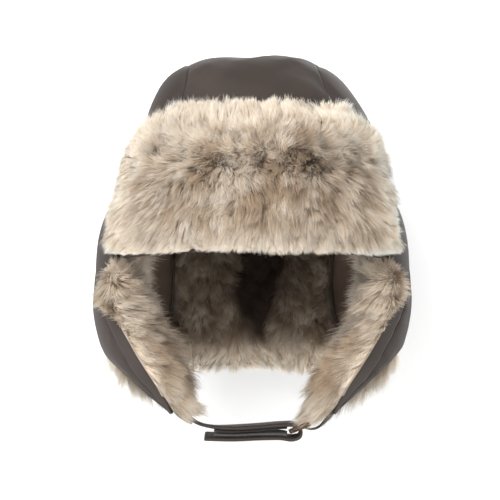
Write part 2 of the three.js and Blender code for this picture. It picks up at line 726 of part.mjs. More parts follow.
function napeFur() {
  const place = (u, v, beyond) => {
    const end = reading(NAPE_FUR_END, "share", v, "azimuth");
    const azimuth = mix(end, 360 - end, u);
    const low = lowerEdge(azimuth);
    const elevation = mix(-13 + 1.5 * beyond, low + 0.8 - 3.8 * beyond, v);
    const inset = Math.min(u + 0.04, 1.04 - u, v + 0.04, 1.1 * (1 - v) + 0.02);
    const rim = Math.min(Math.max(6 * inset, 0), 1);
    const depth = beyond * mix(4, 14, Math.sqrt(rim));
    const point = offBody(heading(azimuth, elevation), -FUR_BACKING_DEPTH - depth);
    return point.add(new THREE.Vector3(0, 0, -NAPE_FUR_FRINGE * beyond * smoothstep(0.7, 1, v)));
  };
  const backing = (u, v) => place(u, v, 0);
  const pile = (u, v) => place(u, v, 1);
  return furPad(backing, pile, () => [0, 1], 14, 7);
}

// A flat band along a route: width() is its direction across at each share of the way
function band(route, across, width, thickness, steps) {
  const frames = route.getSpacedPoints(steps).map((centre, i) => {
    const share = i / steps;
    const along = route.getTangentAt(share);
    const wide = across(share, along);
    const thick = new THREE.Vector3().crossVectors(along, wide).normalize();
    return { centre, wide, thick };
  });
  const point = (u, v, side) => {
    const frame = frames[Math.round(v * steps)];
    return frame.centre
      .clone()
      .addScaledVector(frame.wide, (u - 0.5) * width)
      .addScaledVector(frame.thick, (0.5 - side) * thickness);
  };
  return sheet(point, 2, steps);
}

// Unit vector across a band, level with Y but for its tilt, square to its route
function tiltedAcross(tilt, along) {
  const wide = new THREE.Vector3(0, Math.cos(tilt * DEGREE), Math.sin(tilt * DEGREE));
  return wide.addScaledVector(along, -wide.dot(along)).normalize();
}

function strapRoute() {
  const points = STRAP_ROUTE.map(({ x, y, z }) => new THREE.Vector3(x, y, z));
  return new THREE.CatmullRomCurve3(points, false, "centripetal");
}

function strapTilt(share) {
  const place = share * (STRAP_ROUTE.length - 1);
  const i = Math.min(Math.floor(place), STRAP_ROUTE.length - 2);
  return mix(STRAP_ROUTE[i].tilt, STRAP_ROUTE[i + 1].tilt, place - i);
}

function chinStrap() {
  const across = (share, along) => tiltedAcross(strapTilt(share), along);
  return band(strapRoute(), across, STRAP_WIDTH, STRAP_THICKNESS, 44);
}

// Hook tape on the tail's upper face, or loop tape on the lower face of the strap above it
function strapPatch(above) {
  const rows = STRAP_ROUTE.filter((row) => row.x <= 28 && row.x >= -35);
  const turn = rows.findIndex((row) => row.z < -234);
  const layer = above ? rows.slice(0, turn) : rows.slice(turn).reverse();
  const tilt = (x) => reading(layer, "x", x, "tilt");
  const shift = (STRAP_THICKNESS + PATCH_THICKNESS) / 2 + PATCH_GAP;
  const points = [];
  for (let i = 0; i <= 6; i += 1) {
    const x = mix(PATCH_FROM, PATCH_TO, i / 6);
    const up = (above ? -shift : shift) / Math.cos(tilt(x) * DEGREE);
    points.push(new THREE.Vector3(x, STRAP_ROUTE[4].y, reading(layer, "x", x, "z") + up));
  }
  const route = new THREE.CatmullRomCurve3(points);
  const across = (share, along) => tiltedAcross(tilt(mix(PATCH_FROM, PATCH_TO, share)), along);
  return band(route, across, PATCH_WIDTH, PATCH_THICKNESS, 8);
}

// A tab or loop that is sewn in behind the tip of an ear flap
function tipBand(side, points, width, thickness, steps) {
  const inside = [-60, -63, -66].map((elevation, i) =>
    offBody(heading(side * TIP_BAND_AZIMUTH, elevation), -TIP_BAND_DEPTH - 0.3 * i - thickness / 2),
  );
  const route = new THREE.CatmullRomCurve3([...inside, ...points], false, "centripetal");
  const across = (share, along) => {
    const round = heading(side * (TIP_BAND_AZIMUTH + 90), 0);
    const wide = round.lerp(new THREE.Vector3(0, 1, 0), smoothstep(0.2, 0.6, share));
    return wide.addScaledVector(along, -wide.dot(along)).normalize();
  };
  return band(route, across, width, thickness, steps);
}

function strapTab() {
  const points = [new THREE.Vector3(-45.5, -32.6, -223.8), new THREE.Vector3(-39.5, -34.8, -227.5)];
  return tipBand(-1, points, TIP_BAND_WIDTH, 2.0, 8);
}

function ringAt(along, aside) {
  const cos = Math.cos(RING_TURN * DEGREE);
  const sin = Math.sin(RING_TURN * DEGREE);
  return new THREE.Vector3(
    RING_CENTRE.x + along * cos - aside * sin,
    RING_CENTRE.y,
    RING_CENTRE.z + along * sin + aside * cos,
  );
}

// Loop of cloth from the tip of the right ear flap round the ring's right bar
function strapLoop() {
  const bar = (RING_HEIGHT - RING_BAR) / 2;
  const wrap = RING_BAR / 2 + 1.8;
  const points = [
    ringAt(bar + 5.5, -wrap - 0.6),
    ringAt(bar, -wrap),
    ringAt(bar - wrap, 0),
    ringAt(bar, wrap),
    ringAt(bar + 6, wrap + 0.2),
  ];
  return tipBand(1, points, TIP_BAND_WIDTH, 1.4, 18);
}

function strapRing() {
  const loop = new THREE.Shape();
  const [long, tall] = [RING_LENGTH / 2, RING_HEIGHT / 2];
  const outline = (path, inset) => {
    const [x, y] = [long - inset, tall - inset];
    const corner = Math.max(RING_CORNER - inset, 1.2);
    path.moveTo(-x + corner, -y);
    path.lineTo(x - corner, -y);
    path.absarc(x - corner, -y + corner, corner, -Math.PI / 2, 0);
    path.lineTo(x, y - corner);
    path.absarc(x - corner, y - corner, corner, 0, Math.PI / 2);
    path.lineTo(-x + corner, y);
    path.absarc(-x + corner, y - corner, corner, Math.PI / 2, Math.PI);
    path.lineTo(-x, -y + corner);
    path.absarc(-x + corner, -y + corner, corner, Math.PI, 1.5 * Math.PI);
  };
  outline(loop, 0.5);
  const hole = new THREE.Path();
  outline(hole, RING_BAR - 0.5);
  loop.holes.push(hole);
  const geometry = new THREE.ExtrudeGeometry(loop, {
    depth: RING_BAR - 1,
    bevelThickness: 0.5,
    bevelSize: 0.5,
    bevelSegments: 1,
    curveSegments: 2,
  });
  geometry.translate(0, 0, 0.5 - RING_BAR / 2);
  geometry.rotateZ(Math.PI / 2);
  geometry.rotateY(-RING_TURN * DEGREE);
  geometry.translate(RING_CENTRE.x, RING_CENTRE.y, RING_CENTRE.z);
  return geometry;
}

function piece(name, geometry, colour, roughness, metalness = 0) {
  const plain = geometry.index ? geometry : geometry.clone();
  plain.computeVertexNormals();
  const material = new THREE.MeshStandardMaterial({ color: colour, roughness, metalness });
  const mesh = new THREE.Mesh(plain, material);
  mesh.name = name;
  return mesh;
}

function shellPieces() {
  const shell = (name, geometry) => piece(name, geometry, COLOURS.shell, 0.5);
  const group = new THREE.Group();
  group.add(shell("crown_centre", crownCentre()));
  group.add(shell("forehead_band", foreheadBand()));
  group.add(shell("front_flap_shell", frontFlapShell()));
  group.add(shell("nape_panel", napePanel()));
  for (const [name, side] of [["left", -1], ["right", 1]]) {
    group.add(shell(`crown_side_${name}`, crownSide(side)));
    group.add(shell(`ear_flap_front_${name}`, earFlapFront(side)));
    group.add(shell(`ear_flap_rear_${name}`, earFlapRear(side)));
  }
  return group;
}

function furPieces() {
  const group = new THREE.Group();
  group.add(piece("crown_lining", crownLining(), COLOURS.lining, 0.7));
  group.add(piece("front_flap_fur", frontFlapFur(), COLOURS.fur, 0.9));
  group.add(piece("nape_fur", napeFur(), COLOURS.innerFur, 0.9));
  group.add(piece("ear_flap_fur_left", earFlapFur(-1), COLOURS.fur, 0.9));
  group.add(piece("ear_flap_fur_right", earFlapFur(1), COLOURS.fur, 0.9));
  return group;
}

function strapPieces() {
  const group = new THREE.Group();
  group.add(piece("strap_tab_left", strapTab(), COLOURS.tab, 0.8));
  group.add(piece("chin_strap", chinStrap(), COLOURS.strap, 0.5));
  group.add(piece("strap_loop_tape", strapPatch(true), COLOURS.patch, 0.95));
  group.add(piece("strap_hook_tape", strapPatch(false), COLOURS.patch, 0.95));
  group.add(piece("strap_ring", strapRing(), COLOURS.ring, 0.35, 0.7));
  group.add(piece("strap_loop_right", strapLoop(), COLOURS.strap, 0.6));
  return group;
}

const hat = new THREE.Group();
hat.add(shellPieces(), furPieces(), strapPieces());

export default hat;
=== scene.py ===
# A child's fur-lined trapper hat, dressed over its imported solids: padded panels of coated cloth, a
# turned-up front flap, ear flaps and nape with long soft fur, a smooth lining and a chin strap.
# Shapes are worked out in millimetres, as the solids are, and turned to metres in make_piece.
# Azimuth runs from 0 at the front through 90 on the right; elevation is seen from MIDDLE.
import math

import bpy
import numpy as np
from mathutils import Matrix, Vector, kdtree


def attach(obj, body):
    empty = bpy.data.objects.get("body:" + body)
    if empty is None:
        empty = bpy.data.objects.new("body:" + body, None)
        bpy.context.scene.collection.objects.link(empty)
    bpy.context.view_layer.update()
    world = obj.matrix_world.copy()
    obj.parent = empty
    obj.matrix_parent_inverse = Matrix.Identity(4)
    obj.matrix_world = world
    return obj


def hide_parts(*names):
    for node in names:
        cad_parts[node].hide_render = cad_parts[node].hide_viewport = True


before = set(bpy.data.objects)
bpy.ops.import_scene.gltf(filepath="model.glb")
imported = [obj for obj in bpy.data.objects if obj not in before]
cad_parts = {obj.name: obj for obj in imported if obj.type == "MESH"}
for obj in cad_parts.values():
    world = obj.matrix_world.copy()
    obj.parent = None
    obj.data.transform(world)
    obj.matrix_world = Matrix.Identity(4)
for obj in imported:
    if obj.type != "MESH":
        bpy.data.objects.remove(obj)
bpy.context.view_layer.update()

MM = 0.001
SCENE = bpy.context.scene

# Camera: 1.2 m in front and a little below, its picture 325 mm wide where the hat is
CAMERA_TARGET = Vector((-1.6, 0.0, -116.3))
CAMERA_DISTANCE = 1200.0
CAMERA_ELEVATION = -5.0
PICTURE_WIDTH = 325.0
SENSOR_WIDTH = 36.0


def add_object(name, data):
    thing = bpy.data.objects.new(name, data)
    SCENE.collection.objects.link(thing)
    return thing


def place_camera():
    camera = add_object("camera", bpy.data.cameras.new("camera"))
    pitch = math.radians(CAMERA_ELEVATION)
    back = Vector((0.0, -math.cos(pitch), math.sin(pitch)))
    camera.location = (CAMERA_TARGET + back * CAMERA_DISTANCE) * MM
    camera.rotation_euler = (-back).to_track_quat("-Z", "Y").to_euler()
    camera.data.sensor_width = SENSOR_WIDTH
    camera.data.lens = SENSOR_WIDTH * CAMERA_DISTANCE / PICTURE_WIDTH
    camera.data.clip_end = 20.0
    SCENE.camera = camera


place_camera()


def table(columns, *rows):
    """Named columns of a short table."""
    return dict(zip(columns.split(), np.array(rows, float).T))


# The body's outer face: distance from MIDDLE at each elevation, and its lean to the right
MIDDLE = np.array((0.0, 5.0, -75.8))
ROUNDNESS = 2.12
SURFACE_STEP = 0.004
BODY = table(
    "elevation side front back lean",
    (90, 78.6, 78.6, 78.6, 1.0), (80, 79.8, 79.8, 79.6, 1.0), (70, 83.4, 83.6, 82.8, 1.0),
    (60, 88.5, 89.4, 88.2, 0.6), (50, 89.0, 93.2, 90.8, 0.4), (40, 86.2, 93.8, 90.5, 1.6),
    (30, 83.6, 92.6, 89.0, 3.2), (20, 82.4, 91.4, 87.7, 3.4), (10, 83.6, 91.0, 87.3, 2.4),
    (0, 86.6, 92.4, 88.4, 1.2), (-10, 96.4, 96.4, 92.4, 0.8), (-20, 106.0, 103.5, 97.8, 0.2),
    (-30, 116.6, 112.0, 105.5, 0.0), (-40, 131.0, 123.5, 115.5, 0.0),
    (-50, 146.0, 136.5, 130.5, 0.0), (-60, 154.0, 151.0, 150.0, 0.0),
    (-70, 163.0, 163.0, 171.0, 0.0),
)
FOLDS = table(
    "azimuth elevation turn length width height",
    (8, 48, 38, 14, 6, 1.3), (-2, 38, 34, 18, 5, -1.0), (33, 40, -32, 14, 4, -1.4),
    (58, 22, -50, 20, 6, 1.3), (-52, 26, 52, 18, 6, -1.2), (150, 30, 60, 24, 8, 1.4),
)
# Smaller creases that only the cloth itself shows
CREASES = table(
    "azimuth elevation turn length width height",
    (22, 52, 34, 12, 2.2, 0.9), (30, 46, -40, 8, 1.6, -1.1), (36, 41, -30, 7, 1.4, 0.8),
    (40, 36, -36, 8, 1.5, -0.9), (46, 33, -44, 9, 1.6, 0.8), (6, 56, 28, 15, 2.4, 0.9),
    (-18, 50, -30, 10, 2.4, -0.8), (-34, 46, 40, 9, 2.0, 0.9), (-42, 38, 50, 9, 1.8, -0.8),
    (84, 6, -70, 12, 2.2, 1.2), (96, 14, -52, 10, 2.0, -1.0), (-84, 4, 72, 12, 2.2, 1.2),
    (-98, 16, 54, 10, 2.0, -1.0), (100, -24, -60, 14, 2.6, -1.3), (-100, -22, 58, 14, 2.6, -1.3),
    (86, -36, 64, 9, 2.0, 1.0), (-88, -38, -66, 9, 2.0, 1.0), (124, -36, -80, 10, 2.2, 1.2),
    (-126, -34, 76, 10, 2.2, 1.2), (168, -20, 84, 14, 2.6, 1.3), (-166, 2, 66, 12, 2.2, 1.0),
    (-160, 20, -66, 16, 2.8, -1.3), (158, 30, 58, 12, 2.2, 1.0), (-150, 48, -40, 12, 2.4, 1.2),
    (128, 46, 44, 12, 2.2, -1.2), (-128, 30, 40, 10, 2.0, -1.0), (176, -38, 20, 12, 2.2, -1.0),
)

# Layers, measured inwards from the outer face of the shell
SHELL_THICKNESS = 1.6
SHELL_PUFF = 1.3
LINING_DEPTH = 2.4
LINING_THICKNESS = 1.0
LINING_POLE = 89.8
LINING_RIM_FRONT = -23.5
LINING_RIM_BACK = -44.0
FUR_BACKING_DEPTH = 5.4
TIP_BACKING_DEPTH = 7.4
TIP_BAND_DEPTH = 3.9
SEAM_GAP = 0.13

# Seams and edges
CROWN_SEAM = -8.0
ABOVE_SEAM = CROWN_SEAM + SEAM_GAP
BELOW_SEAM = CROWN_SEAM - SEAM_GAP
FOREHEAD_EDGE = -24.7
NAPE_SEAM = 140.0
TIP_AZIMUTH = 50.5
TIP_BAND_AZIMUTH = 53.0
STRIP_HALF_WIDTH = table(
    "angle width",
    (-12, 50), (20, 49.5), (36, 48), (50, 42.5), (64, 41), (90, 45), (120, 50), (150, 49),
    (192, 44),
)
STRIP_GAP = 0.2
STRIP_FRONT = -9.0
STRIP_BACK = 189.0
FLAP_TIP = -65.4
FLAP_FRONT_EDGE = table(
    "elevation azimuth",
    (-66, 49), (-62, 45.5), (-58, 45), (-53, 47), (-48, 50), (-43, 53.5), (-37, 56), (-29, 57),
    (-18, 55), (-6, 51),
)
FLAP_PANEL_SEAM = table(
    "elevation azimuth",
    (-66, 51), (-62, 50.5), (-56, 55), (-47, 60.5), (-40, 68), (-35, 76), (-25, 92), (-6, 106),
)
LOWER_EDGE = table(
    "azimuth left right",
    (46, -64.5, -64.5), (51, -65.2, -65), (57, -61.6, -60.2), (66, -55, -53.2), (75, -50.8, -48.8),
    (86, -49, -46.8), (96, -49.2, -46.4), (110, -49.6, -47.4), (130, -50.4, -50.4),
    (155, -52.4, -52.4), (180, -53.2, -53.2),
)
FRONT_FLAP_EDGE = table(
    "elevation azimuth",
    (-27, 52), (-20, 52.5), (-10, 52.5), (-2, 54), (6, 55), (12, 53), (16, 48), (19, 41), (21, 33),
)
FRONT_FLAP_TOP = 21.0
FRONT_FLAP_CLEARANCE = 2.2
FRONT_FUR_GAP = 0.8
FRONT_FLAP_FOLD = table(
    "share elevation outward",
    (0, -26.5, -1.6),
    (0.1, -25.6, -0.7),
    (0.2, -24.6, 0.5),
    (0.3, -22.3, 1.6),
    (0.4, -16.7, FRONT_FLAP_CLEARANCE),
    (1, FRONT_FLAP_TOP, FRONT_FLAP_CLEARANCE),
)

# Front and ear flap fur
FRONT_FUR_CORNER = 2.0
FRONT_RIM_PILE, FRONT_PILE = 5.0, 18.0
NAPE_RIM_PILE, NAPE_PILE = 4.0, 14.0
EAR_FUR_SECTION = table(
    "at back backAhead backOut pile pileAhead pileOut",
    (0.0, 0, -3.5, 1.9, 0, -10, 3.6),
    (0.1, 0, 1.0, 1.9, 0, -2, 10.5),
    (0.2, 0, 2.0, -1.0, 0, 8, 8),
    (0.3, 0, 1.0, -FUR_BACKING_DEPTH, 0, 13, -3),
    (0.4, 0.08, 0, -FUR_BACKING_DEPTH, 0, 12, -15),
    (0.52, 0.26, 0, -FUR_BACKING_DEPTH, 0.08, 4, -24),
    (0.74, 0.62, 0, -FUR_BACKING_DEPTH, 0.5, 0, -22),
    (1.0, 1, 0, -FUR_BACKING_DEPTH, 1, 0, -10),
)
# How much of the shell's front edge the fur covers from outside, down each flap
EAR_FUR_COVER = table(
    "share left right",
    (0, 1, 0.8), (0.25, 0.9, 0.55), (0.4, 0.4, 0.25), (0.55, 0.05, 0.1), (0.7, 0, 0), (1, 0, 0),
)
# What changes in the section where the fur stops at the shell's edge
EAR_FUR_BARE = table(
    "at backAhead pileAhead pileOut",
    (0, 3.2, 11, -0.8), (0.1, 0.8, 7, -6), (0.2, 0, 2, -3.5), (0.3, 0, 0, 0), (1, 0, 0, 0),
)
# How far the lobes of fur reach inwards, down each flap
EAR_FUR_INWARD = table(
    "share left right",
    (0, -2.5, 0), (0.1, -1.5, 1), (0.25, 0.5, 2.5), (0.4, 3.5, 3), (0.55, 7.5, 2.5),
    (0.7, 11.5, 6.5), (0.85, 13.5, 17.5), (0.95, 12, 19.5), (1, 10.5, 18),
)
EAR_FUR_DROP = {"left": 19.0, "right": 24.0}
EAR_FUR_HEM = {"left": (1.2, 3.2), "right": (2.0, 8.5)}
EAR_FUR_HEM_DEPTH = 4.2
EAR_FUR_TOP_OUTSIDE = -29.7
FUR_TOP_INSIDE = -13.0
TIP_HEM_DEPTH = 8.6
EAR_FUR_TIP_ANGLE = 4.5
# The hem's fringe, where down the flap the hair turns inwards, how far outwards it lies above
# that, and the fringe of the shoulder
EAR_FUR_LIE = {"left": (4.0, 0.2, 0.85, 6.0), "right": (8.0, 0.12, 0.4, 2.0)}
NAPE_FUR_FRINGE = 5.0
EAR_FUR_REAR = table("share azimuth", (0, 112), (0.6, 119), (1, 126))
NAPE_FUR_END = table("share azimuth", (0, 142), (0.7, 141), (0.88, 135), (1, 131))

# Chin strap, ring and tapes
STRAP_WIDTH = 20.0
STRAP_THICKNESS = 2.0
BAND_END = 0.6
TAB_THICKNESS = 2.0
LOOP_THICKNESS = 1.4
RIB_PITCH = 0.9
STRAP_ROUTE = table(
    "x y z tilt",
    (-44.5, -33.4, -221.4, 0), (-40, -34.8, -224.2, 0), (-34, -36.6, -228.0, 1),
    (-25, -38, -230.2, 4), (-10, -38, -230.6, 6), (5, -38, -229.7, 6), (19, -38, -228.6, 6),
    (26, -38, -228.8, 6), (29.8, -38, -231.6, 7), (29.2, -38, -235.6, 9), (24.8, -38, -237.2, 11),
    (17, -38, -236.1, 12), (4, -38, -236.0, 12), (-12, -38, -236.6, 12), (-30, -38, -236.2, 12),
)
TIP_BAND_WIDTH = 12.0
PATCH_WIDTH = 16.0
PATCH_THICKNESS = 1.0
PATCH_FROM = -24.0
PATCH_TO = 21.5
PATCH_GAP = 0.42
PATCH_ROUTE = (-35.0, 28.0)
BETWEEN_LAYERS = -234.0
RING_CENTRE = np.array((29.6, -38.0, -230.8))
RING_LENGTH = 27.5
RING_HEIGHT = 14.5
RING_BAR = 3.0
RING_CORNER = 3.4
RING_SQUARENESS = 0.55
RING_TURN = 22.0


def mix(a, b, share):
    return a + (b - a) * share


def smoothstep(low, high, value):
    t = np.clip((value - low) / (high - low), 0.0, 1.0)
    return t * t * (3 - 2 * t)


def reading(rows, name, place):
    """A table's column at places along its first one, on a smooth curve through the rows."""
    x, y = next(iter(rows.values())), rows[name]
    if x[0] > x[-1]:
        x, y = x[::-1], y[::-1]
    slope = np.diff(y) / np.diff(x)
    middle = (slope[1:] + slope[:-1]) / 2
    before = np.concatenate((slope[:1], middle))
    after = np.concatenate((middle, slope[-1:]))
    i = np.clip(np.searchsorted(x, place) - 1, 0, len(x) - 2)
    span = x[i + 1] - x[i]
    t = np.clip((place - x[i]) / span, 0, 1)
    square, cube = t * t, t * t * t
    return (
        (2 * cube - 3 * square + 1) * y[i]
        + (cube - 2 * square + t) * span * before[i]
        + (3 * square - 2 * cube) * y[i + 1]
        + (cube - square) * span * after[i]
    )


def unit(vectors):
    return vectors / np.maximum(np.linalg.norm(vectors, axis=-1, keepdims=True), 1e-9)


def dot(a, b):
    return np.sum(a * b, axis=-1, keepdims=True)


def stack(x, y, z):
    return np.stack(np.broadcast_arrays(x, y, z), axis=-1).astype(float)


def heading(azimuth, elevation):
    azimuth, elevation = np.radians(azimuth), np.radians(elevation)
    level = np.cos(elevation)
    return stack(level * np.sin(azimuth), -level * np.cos(azimuth), np.sin(elevation))


def elevation_of(direction):
    return np.degrees(np.arcsin(np.clip(direction[..., 2], -1, 1)))


def azimuth_of(direction):
    return np.degrees(np.arctan2(direction[..., 0], -direction[..., 1]))


def body_radius(direction):
    elevation = elevation_of(direction)
    level = np.maximum(np.hypot(direction[..., 0], direction[..., 1]), 1e-6)
    side, front, back = (reading(BODY, name, elevation) for name in ("side", "front", "back"))
    sideways = np.abs(direction[..., 0]) / level / side
    lengthways = np.abs(direction[..., 1]) / level / np.where(direction[..., 1] < 0, front, back)
    return (sideways**ROUNDNESS + lengthways**ROUNDNESS) ** (-1 / ROUNDNESS)


def fold_height(direction, folds):
    azimuth, elevation = azimuth_of(direction), elevation_of(direction)
    height = np.zeros(azimuth.shape)
    for centre, level, turn, length, width, rise in zip(*folds.values()):
        across = ((azimuth - centre + 180) % 360 - 180) * np.cos(np.radians(elevation))
        up = elevation - level
        cos, sin = math.cos(math.radians(turn)), math.sin(math.radians(turn))
        along, aside = across * cos + up * sin, up * cos - across * sin
        height += rise * np.exp(-((along / length) ** 2) - (aside / width) ** 2)
    return height


def body_surface(direction):
    radius = body_radius(direction) + fold_height(direction, FOLDS)
    lean = reading(BODY, "lean", elevation_of(direction))
    return direction * radius[..., None] + MIDDLE + stack(lean, 0 * lean, 0 * lean)


def off_body(direction, outward):
    """Points a given distance outward of the shell's outer face."""
    upright = np.abs(direction[..., 2:]) < 0.9
    helper = np.where(upright, np.array((0.0, 0.0, 1.0)), np.array((0.0, 1.0, 0.0)))
    first = unit(np.cross(helper, direction))
    slopes = []
    for way in (first * SURFACE_STEP, np.cross(direction, first) * SURFACE_STEP):
        slopes.append(body_surface(unit(direction + way)) - body_surface(unit(direction - way)))
    return body_surface(direction) + unit(np.cross(*slopes)) * np.asarray(outward, float)[..., None]


def level_radius(azimuth, elevation):
    direction = heading(azimuth, elevation)
    return body_radius(direction) * np.cos(np.radians(elevation))


def ripple(places, scale, seed, waves=7):
    """A smooth irregular pattern from about -1 to 1, whose features are about scale across."""
    rng = np.random.default_rng(seed)
    total = np.zeros(places.shape[:-1])
    for _ in range(waves):
        way = unit(rng.normal(size=places.shape[-1]))
        pace = 2 * math.pi / scale * rng.uniform(0.55, 1.25)
        total += np.sin(places @ way * pace + rng.uniform(0, 2 * math.pi))
    return total / math.sqrt(waves)


class Field:
    """A value that varies over a surface. Arithmetic on fields adds Math nodes to their finish."""

    def __init__(self, finish, socket):
        self.finish = finish
        self.socket = socket

    def reckon(self, operation, *values):
        inputs = dict(enumerate(values))
        return self.finish.node("ShaderNodeMath", {"operation": operation}, inputs)

    def __add__(self, other):
        return self.reckon("ADD", self, other)

    def __sub__(self, other):
        return self.reckon("SUBTRACT", self, other)

    def __rsub__(self, other):
        return self.reckon("SUBTRACT", other, self)

    def __mul__(self, other):
        return self.reckon("MULTIPLY", self, other)

    __radd__ = __add__
    __rmul__ = __mul__

    def sine(self):
        return self.reckon("SINE", self)

    def clear_of(self, low, high):
        settings = {"interpolation_type": "SMOOTHSTEP"}
        return self.finish.node("ShaderNodeMapRange", settings, {0: self, 1: low, 2: high})


class Finish:
    """The node tree of one finish, round its Principled node."""

    def __init__(self, name, **surface):
        self.material = bpy.data.materials.new(name)
        self.material.use_nodes = True
        self.tree = self.material.node_tree
        self.surface = self.tree.nodes["Principled BSDF"]
        for socket, value in surface.items():
            self.surface.inputs[socket.replace("_", " ")].default_value = value

    def node(self, kind, settings=None, inputs=None, output=0):
        node = self.tree.nodes.new(kind)
        for name, value in (settings or {}).items():
            setattr(node, name, value)
        for name, value in (inputs or {}).items():
            self.give(node.inputs[name], value)
        return Field(self, node.outputs[output])

    def give(self, socket, value):
        if isinstance(value, Field):
            self.tree.links.new(value.socket, socket)
        else:
            socket.default_value = value

    def drive(self, **fields):
        for socket, field in fields.items():
            self.give(self.surface.inputs[socket.replace("_", " ")], field)

    def dress(self, tone, first, second, roughness):
        """A colour between two by tone, and a roughness."""
        inputs = {0: tone, 6: first, 7: second}
        colour = self.node("ShaderNodeMix", {"data_type": "RGBA"}, inputs, output=2)
        self.drive(Base_Color=colour, Roughness=roughness)

    def cloth_place(self):
        """Two fields: millimetres across and along the cloth."""
        where = self.node("ShaderNodeUVMap", {"uv_map": "cloth"})
        return [self.node("ShaderNodeSeparateXYZ", None, {0: where}, axis) for axis in "XY"]

    def noise(self, scale, detail=3.0):
        place = self.node("ShaderNodeTexCoord", output="Object")
        inputs = {"Vector": place, "Scale": scale, "Detail": detail}
        return self.node("ShaderNodeTexNoise", None, inputs)

    def relief(self, height, distance, strength=1.0):
        inputs = {"Height": height, "Distance": distance * MM, "Strength": strength}
        self.drive(Normal=self.node("ShaderNodeBump", None, inputs))


def shade(red, green, blue):
    """A linear colour from 0 to 255 screen numbers."""
    colour = np.array((red, green, blue)) / 255
    linear = np.where(colour <= 0.04045, colour / 12.92, ((colour + 0.055) / 1.055) ** 2.4)
    return (*linear.tolist(), 1.0)


def weave(finish, pitch):
    """Height of a plain weave with a given pitch in millimetres."""
    across, along = finish.cloth_place()
    turn = 2 * math.pi / pitch
    over = (across * turn).sine() * (along * turn).sine()
    return over * 0.5 + 0.5


def soft_finish(name, gloss, sheen, sheen_roughness):
    return Finish(
        name, Specular_IOR_Level=gloss, Sheen_Weight=sheen, Sheen_Roughness=sheen_roughness
    )


def coated_cloth(name, colour, darker, roughness):
    finish = soft_finish(name, 0.22, 0.03, 0.35)
    slow, threads = finish.noise(34.0, 4.0), weave(finish, 0.62)
    tone = (slow * 0.8 + threads * 0.2).clear_of(0.25, 0.75)
    finish.dress(tone, darker, colour, slow * 0.16 + (roughness - 0.08))
    finish.relief(threads * 0.35 + finish.noise(260.0, 5.0), 0.09, 0.8)
    return finish.material


def smooth_lining():
    finish = soft_finish("smooth lining", 0.4, 0.2, 0.4)
    slow, threads = finish.noise(26.0), weave(finish, 0.5)
    tone = (slow * 0.8 + threads * 0.2).clear_of(0.2, 0.8)
    finish.dress(tone, shade(88, 72, 60), shade(112, 94, 80), slow * 0.15 + 0.45)
    finish.relief(threads, 0.06, 0.7)
    return finish.material


def fur_hair():
    """Hair takes its colour from the tone that each strand was given."""
    finish = soft_finish("fur hair", 0.22, 0.16, 0.5)
    tone = finish.node("ShaderNodeAttribute", {"attribute_name": "tone"}, output="Color")
    fleck = finish.noise(420.0, 2.0).clear_of(0.3, 0.7)
    finish.dress(fleck * 0.1, tone, shade(120, 102, 86), fleck * 0.15 + 0.62)
    return finish.material


def strap_tape():
    finish = soft_finish("hook and loop tape", 0.2, 0.3, 0.6)
    grain = finish.noise(1500.0, 4.0)
    tone = grain.clear_of(0.35, 0.7)
    finish.dress(tone, shade(18, 13, 10), shade(52, 41, 34), grain * 0.2 + 0.75)
    finish.relief(grain, 0.5)
    return finish.material


def woven_tab():
    finish = soft_finish("woven tab", 0.3, 0.2, 0.5)
    across, _ = finish.cloth_place()
    ribs = (across * (2 * math.pi / RIB_PITCH)).sine() * 0.5 + 0.5
    slow = finish.noise(120.0)
    tone = (ribs * 0.5 + slow * 0.5).clear_of(0.2, 0.8)
    finish.dress(tone, shade(96, 90, 78), shade(138, 131, 116), slow * 0.2 + 0.6)
    finish.relief(ribs, 0.12)
    return finish.material


def bronze():
    finish = Finish("antique bronze", Specular_IOR_Level=0.5, Coat_Weight=0.2, Coat_Roughness=0.3)
    patina = finish.noise(220.0, 5.0).clear_of(0.35, 0.7)
    scratch = finish.noise(900.0, 2.0)
    finish.dress(patina, shade(58, 45, 35), shade(104, 84, 66), scratch * 0.2 + 0.26)
    finish.drive(Metallic=1.0 - patina * 0.25)
    finish.relief(scratch, 0.02)
    return finish.material


SHELL_CLOTH = coated_cloth("coated shell cloth", shade(66, 57, 52), shade(54, 46, 42), 0.52)
STRAP_CLOTH = coated_cloth("coated strap cloth", shade(62, 53, 48), shade(48, 41, 37), 0.5)
LINING_CLOTH = smooth_lining()
FUR = fur_hair()
TAPE = strap_tape()
TAB = woven_tab()
RING = bronze()


def make_piece(name, points, faces, material, slot, nodes, tone=None, normals=None, cloth=None):
    """A piece of the hat in metres. tone is a colour, normals a direction for each point, and
    cloth millimetres across and along for each point."""
    faces = np.asarray(faces, np.int32)
    sides = faces.shape[1]
    mesh = bpy.data.meshes.new(name)
    mesh.vertices.add(len(points))
    mesh.vertices.foreach_set("co", (np.asarray(points) * MM).astype(np.float32).ravel())
    mesh.loops.add(faces.size)
    mesh.loops.foreach_set("vertex_index", faces.ravel())
    mesh.polygons.add(len(faces))
    mesh.polygons.foreach_set("loop_start", np.arange(0, faces.size, sides, dtype=np.int32))
    mesh.polygons.foreach_set("use_smooth", np.ones(len(faces), bool))
    mesh.update(calc_edges=True)
    if tone is not None:
        colours = mesh.color_attributes.new("tone", "FLOAT_COLOR", "POINT")
        values = np.concatenate((tone, np.ones((len(tone), 1))), axis=1)
        colours.data.foreach_set("color", values.astype(np.float32).ravel())
    if cloth is not None:
        layer = mesh.uv_layers.new(name="cloth")
        layer.uv.foreach_set("vector", cloth[faces.ravel()].astype(np.float32).ravel())
    if normals is not None:
        mesh.normals_split_custom_set_from_vertices(unit(normals).tolist())
    mesh.materials.append(material)
    piece = add_object(name, mesh)
    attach(piece, "root")
    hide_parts(*nodes)
    return piece


